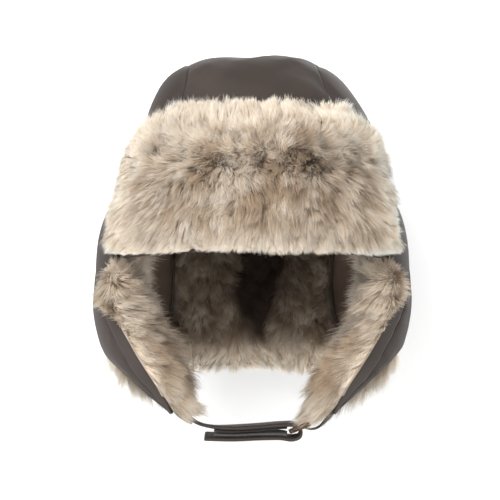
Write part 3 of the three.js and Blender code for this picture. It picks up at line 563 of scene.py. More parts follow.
def grid_faces(columns, rows):
    """Quads of a grid of points, counted along u first."""
    i, j = np.meshgrid(np.arange(columns), np.arange(rows))
    a = (j * (columns + 1) + i).ravel()
    return np.stack((a, a + 1, a + columns + 2, a + columns + 1), axis=1)


def border(columns, rows):
    """The border points of a grid, in order round it."""
    across = columns + 1
    low = np.arange(columns)
    right = columns + across * np.arange(rows)
    top = rows * across + columns - np.arange(columns)
    left = across * (rows - np.arange(rows))
    return np.concatenate((low, right, top, left))


def eased(count, amount=0.6):
    """Shares from 0 to 1 that lie closer together at both ends."""
    t = np.linspace(0, 1, count + 1)
    return mix(t, (1 - np.cos(math.pi * t)) / 2, amount)


def distances(path):
    """How far along a path each of its points lies."""
    return np.insert(np.cumsum(np.linalg.norm(np.diff(path, axis=0), axis=-1)), 0, 0)


def face_normals(corners):
    return np.cross(corners[:, 1] - corners[:, 0], corners[:, 2] - corners[:, 1])


def closed_sheet(point, columns, rows, wrapped=False):
    """Points, faces and cloth places of a sheet: point(u, v, side) is outside at side 0."""
    us = np.linspace(0, 1, columns + 1) if wrapped else eased(columns)
    u, v = np.meshgrid(us, eased(rows))
    outer, inner = point(u, v, 0), point(u, v, 1)
    across, along = distances(outer[rows // 2]), distances(outer[:, columns // 2])
    cloth = np.stack(np.meshgrid(across, along), axis=-1).reshape(-1, 2)
    points = np.concatenate((outer.reshape(-1, 3), inner.reshape(-1, 3)))
    face = len(points) // 2
    front = grid_faces(columns, rows)
    rim = border(columns, rows)
    after = np.roll(rim, -1)
    if wrapped:
        kept = rim // (columns + 1) == after // (columns + 1)
        rim, after = rim[kept], after[kept]
    walls = np.stack((rim, rim + face, after + face, after), axis=1)
    faces = np.concatenate((front, front[:, ::-1] + face, walls))
    apart = (outer - inner).reshape(-1, 3)[front[:, 0]]
    if np.sum(face_normals(points[front]) * apart) < 0:
        faces = faces[:, ::-1]
    return points, faces, np.concatenate((cloth, cloth))


def puff(u, v, sharpness=8):
    return SHELL_PUFF * (1 - np.abs(2 * u - 1) ** sharpness) * (1 - np.abs(2 * v - 1) ** sharpness)


def pucker(direction, u, v, seed):
    """Small gathers that run out from a panel's seams, and its larger creases."""
    places = body_surface(direction)
    edge = np.minimum(np.minimum(u, 1 - u) * 90, np.minimum(v, 1 - v) * 110)
    gathers = 0.34 * ripple(places, 9.0, seed) * np.exp(-edge / 7.0) * smoothstep(0, 1.5, edge)
    drape = 0.22 * ripple(places, 34.0, seed + 50)
    return gathers + drape + fold_height(direction, CREASES) * smoothstep(0, 5, edge)


def panel_point(direction, u, v, side, seed, soft=1.0):
    height = puff(u, v) * soft + pucker(direction, u, v, seed) * (1 if side == 0 else 0.4)
    return off_body(direction, height - side * SHELL_THICKNESS)


def over_crown(angle, aside):
    """Directions of points a given distance aside, over the crown from front to back."""
    reach = np.full(np.shape(angle), 85.0)
    turn = np.radians(angle)
    for _ in range(24):
        direction = unit(stack(aside, -reach * np.cos(turn), reach * np.sin(turn)))
        radius = body_radius(direction)
        reach = np.sqrt(np.maximum(radius * radius - aside * aside, 1))
    return direction


def seam_angle(aside, behind):
    """Angle over the crown of the crown seam's point that lies a given distance aside."""
    low, high = 0.0, 85.0
    for _ in range(30):
        middle = (low + high) / 2
        azimuth = 180 - middle if behind else middle
        reach = level_radius(azimuth, ABOVE_SEAM) * math.sin(math.radians(azimuth))
        low, high = (middle, high) if reach < abs(aside) else (low, middle)
    azimuth = (180 - low if behind else low) * (math.copysign(1, aside))
    direction = heading(azimuth, ABOVE_SEAM)
    angle = math.degrees(math.atan2(direction[2], -direction[1]))
    return angle + 360 if behind and angle < 0 else angle


def strip_width(angle):
    return reading(STRIP_HALF_WIDTH, "width", angle)


def strip_ends():
    low = float(strip_width(STRIP_FRONT)) + STRIP_GAP
    high = float(strip_width(STRIP_BACK)) + STRIP_GAP
    return seam_angle(low, False), seam_angle(high, True)


STRIP_START, STRIP_END = strip_ends()


def crown_centre_point(u, v, side):
    angle = mix(STRIP_START, STRIP_END, v)
    direction = over_crown(angle, (2 * u - 1) * (strip_width(angle) - STRIP_GAP))
    return panel_point(direction, u, v, side, 1)


def crown_side_point(hand):
    def edge(share):
        angle = mix(STRIP_START, STRIP_END, share)
        return over_crown(angle, hand * (strip_width(angle) + STRIP_GAP))

    first, last = (float(azimuth_of(edge(np.array(share)))) for share in (0.0, 1.0))

    def point(u, v, side):
        seam = edge(u)
        base = heading(mix(first, last, u), ABOVE_SEAM)
        seam = seam * body_radius(seam)[..., None]
        base = base * body_radius(base)[..., None]
        direction = unit(mix(seam, base, v[..., None]))
        return panel_point(direction, u, v, side, 2 + hand)

    return point


def across_front(u, reach, elevation, outward):
    """Points from the left to the right of the face, as far round as reach."""
    return off_body(heading(mix(-reach, reach, u), elevation), outward)


def forehead_band_point(u, v, side):
    reach = float(reading(FLAP_FRONT_EDGE, "azimuth", CROWN_SEAM)) - 1.2
    elevation = mix(BELOW_SEAM, FOREHEAD_EDGE + 0.4, v)
    return across_front(u, reach, elevation, -side * SHELL_THICKNESS + 0 * u)


def flap_reach(elevation):
    return reading(FRONT_FLAP_EDGE, "azimuth", elevation)


def front_flap_point(u, v, side):
    elevation = reading(FRONT_FLAP_FOLD, "elevation", v)
    outward = reading(FRONT_FLAP_FOLD, "outward", v) + (1 - side) * SHELL_THICKNESS
    return across_front(u, flap_reach(elevation), elevation, outward)


def ear_front_point(hand):
    def point(u, v, side):
        elevation = mix(BELOW_SEAM, FLAP_TIP, v)
        front = reading(FLAP_FRONT_EDGE, "azimuth", elevation)
        rear = reading(FLAP_PANEL_SEAM, "azimuth", elevation) - 2 * SEAM_GAP
        direction = heading(hand * mix(front, rear, u), elevation)
        return panel_point(direction, u, v, side, 11 + hand, 0.8)

    return point


def lower_edge(azimuth):
    """The lower edge's elevation at azimuths from -180 on the left to 360."""
    from_front = np.minimum(np.abs(azimuth), 360 - azimuth)
    left = reading(LOWER_EDGE, "left", from_front)
    right = reading(LOWER_EDGE, "right", from_front)
    return np.where((azimuth < 0) | (azimuth > 180), left, right)


def ear_rear_point(hand):
    def point(u, v, side):
        end = mix(TIP_AZIMUTH + 2, NAPE_SEAM - 2 * SEAM_GAP, u)
        elevation = mix(BELOW_SEAM, lower_edge(hand * end), v)
        tip = float(lower_edge(np.array(hand * (TIP_AZIMUTH + 2))))
        height = mix(CROWN_SEAM, tip, v)
        seam = reading(FLAP_PANEL_SEAM, "azimuth", height) + 2 * SEAM_GAP
        direction = heading(hand * mix(seam, NAPE_SEAM - 2 * SEAM_GAP, u), elevation)
        return panel_point(direction, u, v, side, 21 + hand)

    return point


def nape_point(u, v, side):
    azimuth = mix(NAPE_SEAM + 2 * SEAM_GAP, 360 - NAPE_SEAM - 2 * SEAM_GAP, u)
    elevation = mix(BELOW_SEAM, lower_edge(azimuth), v)
    return panel_point(heading(azimuth, elevation), u, v, side, 31)


def lining_point(u, v, side):
    azimuth = 360 * u
    from_front = np.minimum(azimuth, 360 - azimuth)
    rim = mix(LINING_RIM_FRONT, LINING_RIM_BACK, smoothstep(72, 92, from_front))
    direction = heading(azimuth, mix(LINING_POLE, rim, v))
    drape = 0.25 * ripple(body_surface(direction), 22.0, 71) * smoothstep(0, 0.2, v) - 0.2
    return off_body(direction, drape - LINING_DEPTH - side * LINING_THICKNESS)


def cloth_piece(name, point, columns, rows, material, slot, wrapped=False):
    points, faces, cloth = closed_sheet(point, columns, rows, wrapped)
    return make_piece(name + "_cloth", points, faces, material, slot, [name], cloth=cloth)


def make_shell():
    panels = [
        ("crown_centre", crown_centre_point, 44, 88),
        ("forehead_band", forehead_band_point, 60, 8),
        ("front_flap_shell", front_flap_point, 56, 30),
        ("nape_panel", nape_point, 44, 34),
    ]
    for hand, name in ((-1, "left"), (1, "right")):
        panels += [
            ("crown_side_" + name, crown_side_point(hand), 64, 28),
            ("ear_flap_front_" + name, ear_front_point(hand), 18, 56),
            ("ear_flap_rear_" + name, ear_rear_point(hand), 36, 50),
        ]
    for name, point, columns, rows in panels:
        piece = cloth_piece(name, point, columns, rows, SHELL_CLOTH, "shell_cloth")
    cloth_piece("crown_lining", lining_point, 112, 40, LINING_CLOTH, "lining_cloth", True)


make_shell()

# Fur: colours at the root, middle and tip of the pale, mottled and dark hair
PALE = (shade(176, 148, 118), shade(216, 196, 170), shade(241, 233, 220))
MOTTLED = (shade(100, 76, 56), shade(134, 108, 84), shade(196, 174, 148))
DARK = (shade(13, 7, 3), shade(27, 15, 7), shade(46, 27, 14))

# Places along a hair: fine hairs bend once, long ones twice
FINE_HAIR = np.array((0.0, 0.55, 1.0))
LONG_HAIR = np.array((0.0, 0.4, 0.75, 1.0))
# Shares of the pile's depth, and sizes in millimetres
HAIR_START = 0.3
FINE_WIDTH = 0.34
LONG_WIDTH = 0.26
LONG_REACH = 1.12
TUFT = 8.0
LOCK = 2.5
PILE_STEP = 0.01
GROUND_LEVEL = 0.52
MOST_TRIANGLES = 190000


def differences(surface, u, v, step):
    """How a surface moves along u and along v, from a step before to a step after."""
    wide = surface(u + step, v) - surface(u - step, v)
    tall = surface(u, v + step) - surface(u, v - step)
    return wide, tall


class Pad:
    """A pad of fur between a backing and the top of its pile, over u and v from 0 to 1.

    flow(u, v) is the way that the hair lies, as steps in u and v that are shorter where it
    stands up. tone(u, v, place) is how mottled and how dark it is: 1 is most. A darkness
    under 0 is painted light, paler than the hair's own colours.
    fringe(u, v) is how far it reaches past the pad's nearest edge in millimetres.
    lean is how far a hair leans over, and sway(u, v, turn) limits its turn from the flow."""

    def __init__(self, backing, pile, flow, tone, lean, fringe, sway=None):
        self.backing, self.pile, self.flow, self.tone = backing, pile, flow, tone
        self.lean, self.fringe, self.sway = lean, fringe, sway
        self.cells = 48
        middle = (np.arange(self.cells) + 0.5) / self.cells
        wide, tall = differences(self.surface, *np.meshgrid(middle, middle), 0.5 / self.cells)
        self.areas = np.linalg.norm(np.cross(wide, tall), axis=-1).ravel()

    def surface(self, u, v):
        return mix(self.backing(u, v), self.pile(u, v), 0.8)

    def scatter(self, count, rng):
        """Places spread evenly over the pad's surface."""
        share = np.cumsum(self.areas) / self.areas.sum()
        picks = (np.arange(count) + rng.random(count)) / count
        cell = np.minimum(np.searchsorted(share, picks), self.cells**2 - 1)
        u = (cell % self.cells + rng.random(count)) / self.cells
        v = (cell // self.cells + rng.random(count)) / self.cells
        return u, v

    def hairs(self, u, v, turn, height, tilt, edge, stages):
        """Paths of hairs that rise from their roots and lean over, and their growth."""
        root, top = self.backing(u, v), self.pile(u, v)
        depth = np.linalg.norm(top - root, axis=-1)
        growth = unit(top - root)
        du, dv = self.flow(u, v)
        strength = np.clip(np.hypot(du, dv), 0.3, 1)
        both = differences(self.pile, u, v, PILE_STEP)
        wide, tall = (way / (2 * PILE_STEP) for way in both)
        ahead = wide * du[:, None] + tall * dv[:, None]
        hair = unit(ahead - growth * dot(ahead, growth))
        turn = turn / strength
        if self.sway:
            turn = self.sway(u, v, turn)
        hair = hair * np.cos(turn)[:, None] + np.cross(growth, hair) * np.sin(turn)[:, None]
        reach = self.lean * tilt * np.clip(strength, 0.6, 1)
        fringe = self.fringe(u, v) * edge
        for along, place in ((wide, u), (tall, v)):
            pace = np.linalg.norm(along, axis=-1)
            way = dot(hair, along)[:, 0] / pace
            free = np.where(way > 0, 1 - place, place) * pace
            reach = np.minimum(reach, (0.75 * free + fringe) / np.maximum(np.abs(way), 0.05))
        reach = np.maximum(reach, 0.3)
        rise = (HAIR_START + (height - HAIR_START) * (1 - (1 - stages[:, None]) ** 1.5)) * depth
        over = reach * stages[:, None] ** 1.6
        rise, over = rise.T[..., None], over.T[..., None]
        return root[:, None] + growth[:, None] * rise + hair[:, None] * over, growth, root


def nearest(centres, places):
    tree = kdtree.KDTree(len(centres))
    for i, centre in enumerate(centres):
        tree.insert(centre, i)
    tree.balance()
    return np.array([tree.find(place)[1] for place in places])


def tufts(pad, spacing, spread, seed, stages):
    """Leading hairs about a spacing apart, with the size and tone that their tuft shares."""
    rng = np.random.default_rng(seed)
    count = int(pad.areas.sum() / spacing**2)
    u, v = pad.scatter(count, rng)
    turn = 0.45 * ripple(pad.backing(u, v), 40.0, seed) + rng.normal(0, spread, count)
    height, tilt = rng.uniform(0.66, 1.1, count), rng.uniform(0.65, 1.25, count)
    paths, _, root = pad.hairs(u, v, turn, height, tilt, rng.uniform(0.4, 1.4, count), stages)
    tone = rng.normal(0, 1, count)
    return dict(paths=paths, root=root, turn=turn, height=height, tilt=tilt, tone=tone)


def ramp_colours(mottle, dark, stages):
    """Colours along each hair, from its root to its tip."""
    knots = (0.0, 0.5, 1.0)
    pale, mottled, black = (
        np.stack([np.interp(stages, knots, [knot[k] for knot in ramp]) for k in range(3)], axis=1)
        for ramp in (PALE, MOTTLED, DARK)
    )
    colours = mix(pale[None], mottled[None], mottle[:, None, None])
    return mix(colours, black[None], dark[:, None, None])


def hair_faces(steps):
    """Triangles of one hair, whose points are its left side, its right side and its tip."""
    faces = []
    for k in range(steps - 1):
        faces += [(k, steps + k, steps + k + 1), (k, steps + k + 1, k + 1)]
    return np.array(faces + [(steps - 1, 2 * steps - 1, 2 * steps)])


def make_hair(node, slot, pad, count, seed, long_hair=False):
    """Tapered hairs, drawn together into locks and larger tufts."""
    stages = LONG_HAIR if long_hair else FINE_HAIR
    big = tufts(pad, TUFT, 0.42, seed, stages)
    small = tufts(pad, LOCK, 0.3, seed + 1, stages)
    rng = np.random.default_rng(seed + (3 if long_hair else 2))
    u, v = pad.scatter(count, rng)
    start = pad.backing(u, v)
    in_big, in_small = nearest(big["root"], start), nearest(small["root"], start)

    def shared(name, from_tuft, from_lock):
        return from_tuft * big[name][in_big] + from_lock * small[name][in_small]

    longer = LONG_REACH if long_hair else 1.0
    turn = shared("turn", 0.5, 0.4) + rng.normal(0, 0.16, count)
    height = shared("height", 0.5, 0.5) * rng.uniform(0.84, 1.08, count) * longer
    tilt = shared("tilt", 0.5, 0.5) * rng.uniform(0.8, 1.15, count) * longer
    edge = rng.uniform(0.5, 1.6, count) * longer
    paths, growth, root = pad.hairs(u, v, turn, height, tilt, edge, stages)
    pull = (stages**1.3)[None, :, None] * (0.4 if long_hair else 1.0)
    paths = paths + (small["paths"][in_small] - paths) * 0.2 * pull
    paths = paths + (big["paths"][in_big] - paths) * 0.12 * pull

    mottle, dark = pad.tone(u, v, root)
    mottle = mottle + shared("tone", 0.1, 0.07) + rng.normal(0, 0.06, count)
    colours = ramp_colours(np.clip(mottle, 0, 1), np.clip(dark, -0.8, 1), stages)
    colours *= rng.uniform(0.92, 1.06, count)[:, None, None]

    along = unit(np.gradient(paths, axis=1))
    across = unit(np.cross(along, growth[:, None]))
    lift = np.cross(across, along)
    roll = rng.normal(0, 0.45, count)[:, None, None]
    across = across * np.cos(roll) + lift * np.sin(roll)
    width = LONG_WIDTH if long_hair else FINE_WIDTH
    width = width * rng.uniform(0.75, 1.25, count)
    half = width[:, None, None] * np.interp(stages[:-1], (0, 1), (0.5, 0.28))[None, :, None]
    rounding = (paths - big["paths"][in_big]) / TUFT * 0.8
    rounding += (paths - small["paths"][in_small]) / LOCK * 0.15
    rounding -= along * dot(rounding, along)
    normal = unit(growth[:, None] + rounding + 0.12 * along)

    middle, across = paths[:, :-1], across[:, :-1]
    points = (middle - across * half, middle + across * half, paths[:, -1:])
    normals = (normal[:, :-1] - 0.35 * across, normal[:, :-1] + 0.35 * across, normal[:, -1:])
    tones = (colours[:, :-1], colours[:, :-1], colours[:, -1:])
    points, normals, tones = (np.concatenate(parts, axis=1) for parts in (points, normals, tones))
    one = hair_faces(len(stages) - 1)
    most = MOST_TRIANGLES // len(one)
    for part, first in enumerate(range(0, count, most), start=1):
        kept = slice(first, min(first + most, count))
        roots = points.shape[1] * np.arange(kept.stop - first)[:, None, None]
        make_piece(
            f"{node}_{'long' if long_hair else 'fine'}_hair_{part}",
            points[kept].reshape(-1, 3),
            (one[None] + roots).reshape(-1, 3),
            FUR,
            slot,
            [node],
            tone=np.clip(tones[kept].reshape(-1, 3), 0, 1),
            normals=normals[kept].reshape(-1, 3),
        )


def make_ground(node, slot, pad, columns, rows, seed):
    """The dense lower pile, a closed pad that the hairs grow out of. It is greyer than the hair,
    and darker where the hair parts, as painted shade among the hairs that stand up there."""

    def point(u, v, side):
        base, top = pad.backing(u, v), pad.pile(u, v)
        bumps = 0.07 * ripple(base, 7.0, seed)
        return base + (top - base) * ((GROUND_LEVEL + bumps) * (1 - side))[..., None]

    points, faces, _ = closed_sheet(point, columns, rows)
    u, v = (share.ravel() for share in np.meshgrid(eased(columns), eased(rows)))
    mottle, dark = pad.tone(u, v, pad.backing(u, v))
    colour = ramp_colours(np.clip(mottle, 0, 1), np.clip(dark, 0, 1), np.full(1, 0.35))[:, 0] * 0.8
    # Painted shade: darker where the hair parts and stands up
    parted = np.clip(np.hypot(*pad.flow(u, v)), 0, 1)
    colour = mix(colour, colour.mean(axis=1, keepdims=True), 0.35) * mix(0.75, 1, parted)[:, None]
    tone = np.concatenate((colour, colour))
    make_piece(node + "_ground", points, faces, FUR, slot, [node], tone=tone)


# Front flap fur: darker patches, in shares of its half width and of its height
FRONT_PATCHES = table(
    "across up width height mottle",
    (0.12, 0.44, 0.2, 0.26, 1.0), (0.26, 0.60, 0.10, 0.12, 0.8), (-0.24, 0.56, 0.10, 0.13, 0.9),
    (-0.50, 0.50, 0.10, 0.14, 0.8), (-0.36, 0.34, 0.10, 0.10, 0.8), (-0.02, 0.32, 0.10, 0.12, 0.7),
    (0.70, 0.38, 0.09, 0.16, 0.8), (0.46, 0.36, 0.12, 0.14, 0.6), (-0.68, 0.34, 0.08, 0.12, 0.6),
    (0.04, 0.72, 0.16, 0.08, 0.5),
)
FRONT_BACK = FRONT_FLAP_CLEARANCE + SHELL_THICKNESS + FRONT_FUR_GAP


def patch_sum(patches, across, up):
    total = 0 * across
    for x, y, width, height, mottle in zip(*patches.values()):
        aside, above = (across - x) / width, (up - y) / height
        total = total + mottle * np.exp(-(aside**2) - above**2)
    return total


def patchiness(place, coarse, fine, seed, share=0.25):
    return 0.5 + 0.5 * ripple(place, coarse, seed) + share * ripple(place, fine, seed + 1)


def front_backing(u, v):
    elevation = mix(FOREHEAD_EDGE - 0.4, FRONT_FLAP_TOP - 0.4, v)
    return across_front(u, flap_reach(elevation) - 0.5, elevation, FRONT_BACK + 0 * u)


def front_pile(u, v):
    inset = np.minimum(np.minimum(u, 1 - u), np.minimum(0.8 * v + 0.03, 0.7 * (1 - v) + 0.03))
    rim = np.clip(5.5 * inset, 0, 1)
    corner = FRONT_FUR_CORNER * smoothstep(0.7, 1, np.abs(2 * u - 1))
    elevation = mix(FOREHEAD_EDGE - 2.0 + corner, FRONT_FLAP_TOP + 3.5, v)
    reach = flap_reach(np.minimum(elevation, FRONT_FLAP_TOP)) + 3.5
    depth = mix(FRONT_RIM_PILE, FRONT_PILE, np.sqrt(rim))
    return across_front(u, reach, elevation, FRONT_BACK + depth)


def front_flow(u, v):
    aside = 2 * u - 1
    up = mix(-1.0, 1.0, smoothstep(0.34, 0.92, v))
    return 0.9 * aside * np.abs(aside) - 0.03, up


def front_tone(u, v, place):
    aside = np.abs(2 * u - 1)
    inset = np.minimum(np.minimum(u, 1 - u) * 1.6, np.minimum(v, 0.9 * (1 - v)))
    middle, beside = smoothstep(0.08, 0.3, inset), smoothstep(0.55, 0.85, aside)
    low = smoothstep(0.02, 0.12, v) * smoothstep(0.36, 0.2, v) * smoothstep(0.95, 0.7, aside)
    covered = np.maximum(middle, low)
    mottle = 0.75 * patch_sum(FRONT_PATCHES, 2 * u - 1, v) + 0.4 * patchiness(place, 15.0, 7.0, 301)
    mottle = mottle * middle * (1 - 0.75 * beside) + 0.4 * low
    mottle = mottle + 0.16 * ripple(place, 4.0, 303) * covered
    # Painted light: the rim, both sides and the right-hand part are made paler than the fur's own
    # colour, where the hair turns from the lamps
    pale = 0.14 * (1 - covered) + 0.24 * beside + 0.22 * smoothstep(0.62, 0.88, u)
    return np.clip(mottle, 0, 1), -pale


def front_fringe(u, v):
    beside = smoothstep(0.15, 0.4, v) * smoothstep(0.98, 0.8, v)
    low = smoothstep(0.1, 0, v) * (0.3 + 1.9 * np.exp(-(((u - 0.58) / 0.13) ** 2)))
    return 1.2 + low + 1.4 * smoothstep(0.9, 1, v) + 0.6 * beside


FRONT_PAD = Pad(
    front_backing, front_pile, front_flow, front_tone, lean=12.0, fringe=front_fringe
)


def ear_place(side, u, v, kind):
    hand = "left" if side < 0 else "right"
    hem_angle, hem_drop = EAR_FUR_HEM[hand]
    pile = kind == "pile"
    beyond = 1.0 if pile else 0.0
    bare = 1 - reading(EAR_FUR_COVER, hand, v)
    ahead = reading(EAR_FUR_SECTION, kind + "Ahead", u)
    ahead = ahead + bare * reading(EAR_FUR_BARE, kind + "Ahead", u)
    across = reading(EAR_FUR_SECTION, kind, u)
    rear = reading(EAR_FUR_REAR, "azimuth", v)
    if pile:
        reach = mix(-EAR_FUR_TIP_ANGLE, hem_angle, smoothstep(0, 0.14, across))
    else:
        reach = -EAR_FUR_TIP_ANGLE * (1 - smoothstep(0.15, 0.3, u))
    low = lower_edge(side * mix(TIP_AZIMUTH, rear, across)) + 0.8 - reach
    top = mix(EAR_FUR_TOP_OUTSIDE, FUR_TOP_INSIDE, smoothstep(0.3, 0.55, u))
    top = top + mix(3, 1.5, smoothstep(0.1, 0.3, u)) * beyond
    elevation = mix(top, low, v)
    front = reading(FLAP_FRONT_EDGE, "azimuth", elevation)
    azimuth = mix(front, rear, across) - np.degrees(ahead / level_radius(front, elevation))
    ends = smoothstep(0, 0.1, v) * (1 - 0.75 * smoothstep(0.86, 1, v))
    deep = smoothstep(-54, -60, elevation) * (TIP_BACKING_DEPTH - FUR_BACKING_DEPTH)
    inside = smoothstep(0.4, 0.6, u)
    outward = reading(EAR_FUR_SECTION, kind + "Out", u)
    if pile:
        laid = (outward + bare * reading(EAR_FUR_BARE, "pileOut", u)) * mix(0.5, 1, ends)
        hung = mix(-8, outward, mix(0.35, 1, ends))
        hem_depth = mix(EAR_FUR_HEM_DEPTH, TIP_HEM_DEPTH, smoothstep(-51, -57, elevation))
        hung = mix(hung, -hem_depth, inside * smoothstep(0.8, 1, v))
        outward = np.where(outward > 0, laid, hung)
    else:
        outward = np.where(outward < 0, outward - deep, outward)
    lobe = beyond * (1 - smoothstep(0.54, 0.74, u))
    inward = lobe * smoothstep(0.14, 0.4, u) * reading(EAR_FUR_INWARD, hand, v)
    fall = lobe * smoothstep(0.04, 0.3, u)
    hang = beyond * smoothstep(0.56, 0.7, u) * (1 - 0.6 * smoothstep(0.8, 1, u))
    drop = (EAR_FUR_DROP[hand] * fall + hem_drop * hang) * smoothstep(0.72, 1, v)
    point = off_body(heading(side * azimuth, elevation), outward)
    return point + stack(-side * inward, 0 * drop, -drop)


def ear_flow(u, v, bend, spread):
    outside = mix(-spread, 0.45, smoothstep(bend - 0.15, bend + 0.15, v))
    return mix(outside, 0.75, smoothstep(0.0, 0.36, u)), mix(-0.8, 1.0, smoothstep(0.0, 0.14, v))


def ear_tone(u, v, place):
    patchy = patchiness(place, 17.0, 8.0, 311)
    inside = smoothstep(0.45, 0.62, u)
    low = smoothstep(0.8, 0.92, v)
    outside = 0.12 + 0.3 * patchy + 0.4 * smoothstep(0.35, 0.6, v)
    warm = 0.35 * np.exp(-(((u - 0.28) / 0.1) ** 2))
    warm = warm * smoothstep(0.05, 0.25, v) * smoothstep(0.9, 0.7, v)
    rim = smoothstep(0.16, 0.04, u)
    mottle = mix(outside + warm, 0.8, inside) * (1 - 0.75 * np.maximum(low, rim))
    # Darkness below zero is painted light: the top of the outer face under the front flap, the front
    # rim and the inside hem are made paler than the fur's own colour
    dark = mix(-0.12 * smoothstep(0.4, 0.2, v), 0.55, inside) * (1 - low)
    return np.clip(mottle, 0, 1), dark - 0.55 * inside * low - 0.25 * rim


def ear_pad(side):
    hem, bend, spread, reach = EAR_FUR_LIE["left" if side < 0 else "right"]

    def fringe(u, v):
        inside = smoothstep(0.42, 0.5, u)
        low = smoothstep(0.8, 1, v)
        lobe = 7.0 * smoothstep(0.04, 0.15, u) * smoothstep(0.42, 0.25, u)
        shoulder = smoothstep(0.26, 0.08, v) * smoothstep(0.3, 0.1, u)
        held = 3.0 * smoothstep(0.12, 0, u) * smoothstep(bend + 0.1, bend + 0.3, v)
        top = 6.0 * smoothstep(0.12, 0, v)
        return 0.5 - held + (hem * inside + lobe) * low + reach * shoulder + top

    def sway(u, v, turn):
        near = smoothstep(0.35, 0.15, u) * smoothstep(bend + 0.1, bend + 0.3, v)
        return mix(turn, -side * np.abs(turn), near)

    return Pad(
        lambda u, v: ear_place(side, u, v, "back"),
        lambda u, v: ear_place(side, u, v, "pile"),
        lambda u, v: ear_flow(u, v, bend, spread),
        ear_tone,
        lean=13.0,
        fringe=fringe,
        sway=sway,
    )


def nape_place(u, v, beyond):
    end = reading(NAPE_FUR_END, "azimuth", v)
    azimuth = mix(end, 360 - end, u)
    low = lower_edge(azimuth)
    elevation = mix(FUR_TOP_INSIDE + 1.5 * beyond, low + 0.8 - 3.8 * beyond, v)
    inset = np.minimum(np.minimum(u + 0.04, 1.04 - u), np.minimum(v + 0.04, 1.1 * (1 - v) + 0.02))
    rim = np.sqrt(np.clip(6 * inset, 0, 1))
    depth = beyond * mix(NAPE_RIM_PILE, NAPE_PILE, rim)
    point = off_body(heading(azimuth, elevation), -FUR_BACKING_DEPTH - depth)
    drop = -NAPE_FUR_FRINGE * beyond * smoothstep(0.7, 1, v)
    return point + stack(0 * drop, 0 * drop, drop)


# The dark patch inside the nape, in shares of its width and height
NAPE_PATCHES = table(
    "across up width height mottle",
    (0.44, 0.30, 0.15, 0.26, 1.1), (0.47, 0.62, 0.09, 0.20, 0.9), (0.53, 0.42, 0.10, 0.12, 0.6),
)


def nape_tone(u, v, place):
    patchy = patchiness(place, 16.0, 8.0, 321, 0.3)
    low = smoothstep(0.76, 0.97, v)
    dark = np.clip(0.4 + 0.14 * patchy + patch_sum(NAPE_PATCHES, u, v), 0, 1) * (1 - low)
    # Darkness below zero is painted light: the lower fringe is made paler than the fur's own colour
    return np.clip((0.65 + 0.4 * patchy) * (1 - 0.95 * low), 0, 1), dark - 0.42 * low


def nape_flow(u, v):
    where = stack(130 * u, 90 * v, 0 * u)
    return 0.7 * ripple(where, 36.0, 333), 1.0 + 0.5 * ripple(where, 36.0, 334) * (1 - v)


NAPE_PAD = Pad(
    lambda u, v: nape_place(u, v, 0.0),
    lambda u, v: nape_place(u, v, 1.0),
    nape_flow,
    nape_tone,
    lean=9.0,
    fringe=lambda u, v: 3.0 + 0 * u,
)


def make_furs():
    for node, slot, pad, fine, coarse, columns, rows, seed in (
        ("front_flap_fur", "pale_fur", FRONT_PAD, 94000, 12000, 60, 40, 401),
        ("ear_flap_fur_left", "pale_fur", ear_pad(-1), 50000, 6000, 50, 50, 411),
        ("ear_flap_fur_right", "pale_fur", ear_pad(1), 50000, 6000, 50, 50, 421),
        ("nape_fur", "brown_fur", NAPE_PAD, 36000, 4000, 50, 36, 431),
    ):
        make_ground(node, slot, pad, columns, rows, seed)
        make_hair(node, slot, pad, fine, seed + 1)
        make_hair(node, slot, pad, coarse, seed + 1, True)


make_furs()


def centripetal(points, samples):
    """Places, evenly spaced, on a centripetal Catmull-Rom curve through the points."""
    points = np.asarray(points, float)
    first, last = 2 * points[0] - points[1], 2 * points[-1] - points[-2]
    knots = np.concatenate((first[None], points, last[None]))
    found = []
    for i in range(1, len(knots) - 2):
        near = knots[i - 1 : i + 3]
        at = np.insert(np.cumsum(np.linalg.norm(np.diff(near, axis=0), axis=1) ** 0.5), 0, 0)
        t = np.linspace(at[1], at[2], 24, endpoint=False)[:, None]

        def between(ends, low, high):
            return mix(*ends, (t - at[low]) / (at[high] - at[low]))

        lines = [between(near[k : k + 2], k, k + 1) for k in range(3)]
        bends = [between(lines[k : k + 2], k, k + 2) for k in range(2)]
        found.append(between(bends, 1, 2))
    path = np.concatenate(found + [points[-1:]])
    length = distances(path)
    places = np.linspace(0, length[-1], samples)
    return np.stack([np.interp(places, length, path[:, k]) for k in range(3)], axis=1)


def tube_faces(rings, around, closed=False):
    """Quads between rings of points, and from the last ring to the first where it is closed."""
    i, j = np.meshgrid(np.arange(around), np.arange(rings if closed else rings - 1))
    a, b = j * around + i, j * around + (i + 1) % around
    onward = (j + 1) % rings * around - j * around
    return np.stack((a, a + onward, b + onward, b), axis=-1).reshape(-1, 4)


# Half of a strap's section: a rounded edge, and a shallow groove where it is sewn
STRAP_EDGE = table(
    "across up",
    (0.5, 0.1), (0.488, 0.34), (0.46, 0.48), (0.42, 0.5), (0.395, 0.4), (0.37, 0.5), (0.18, 0.53),
    (0, 0.54),
)


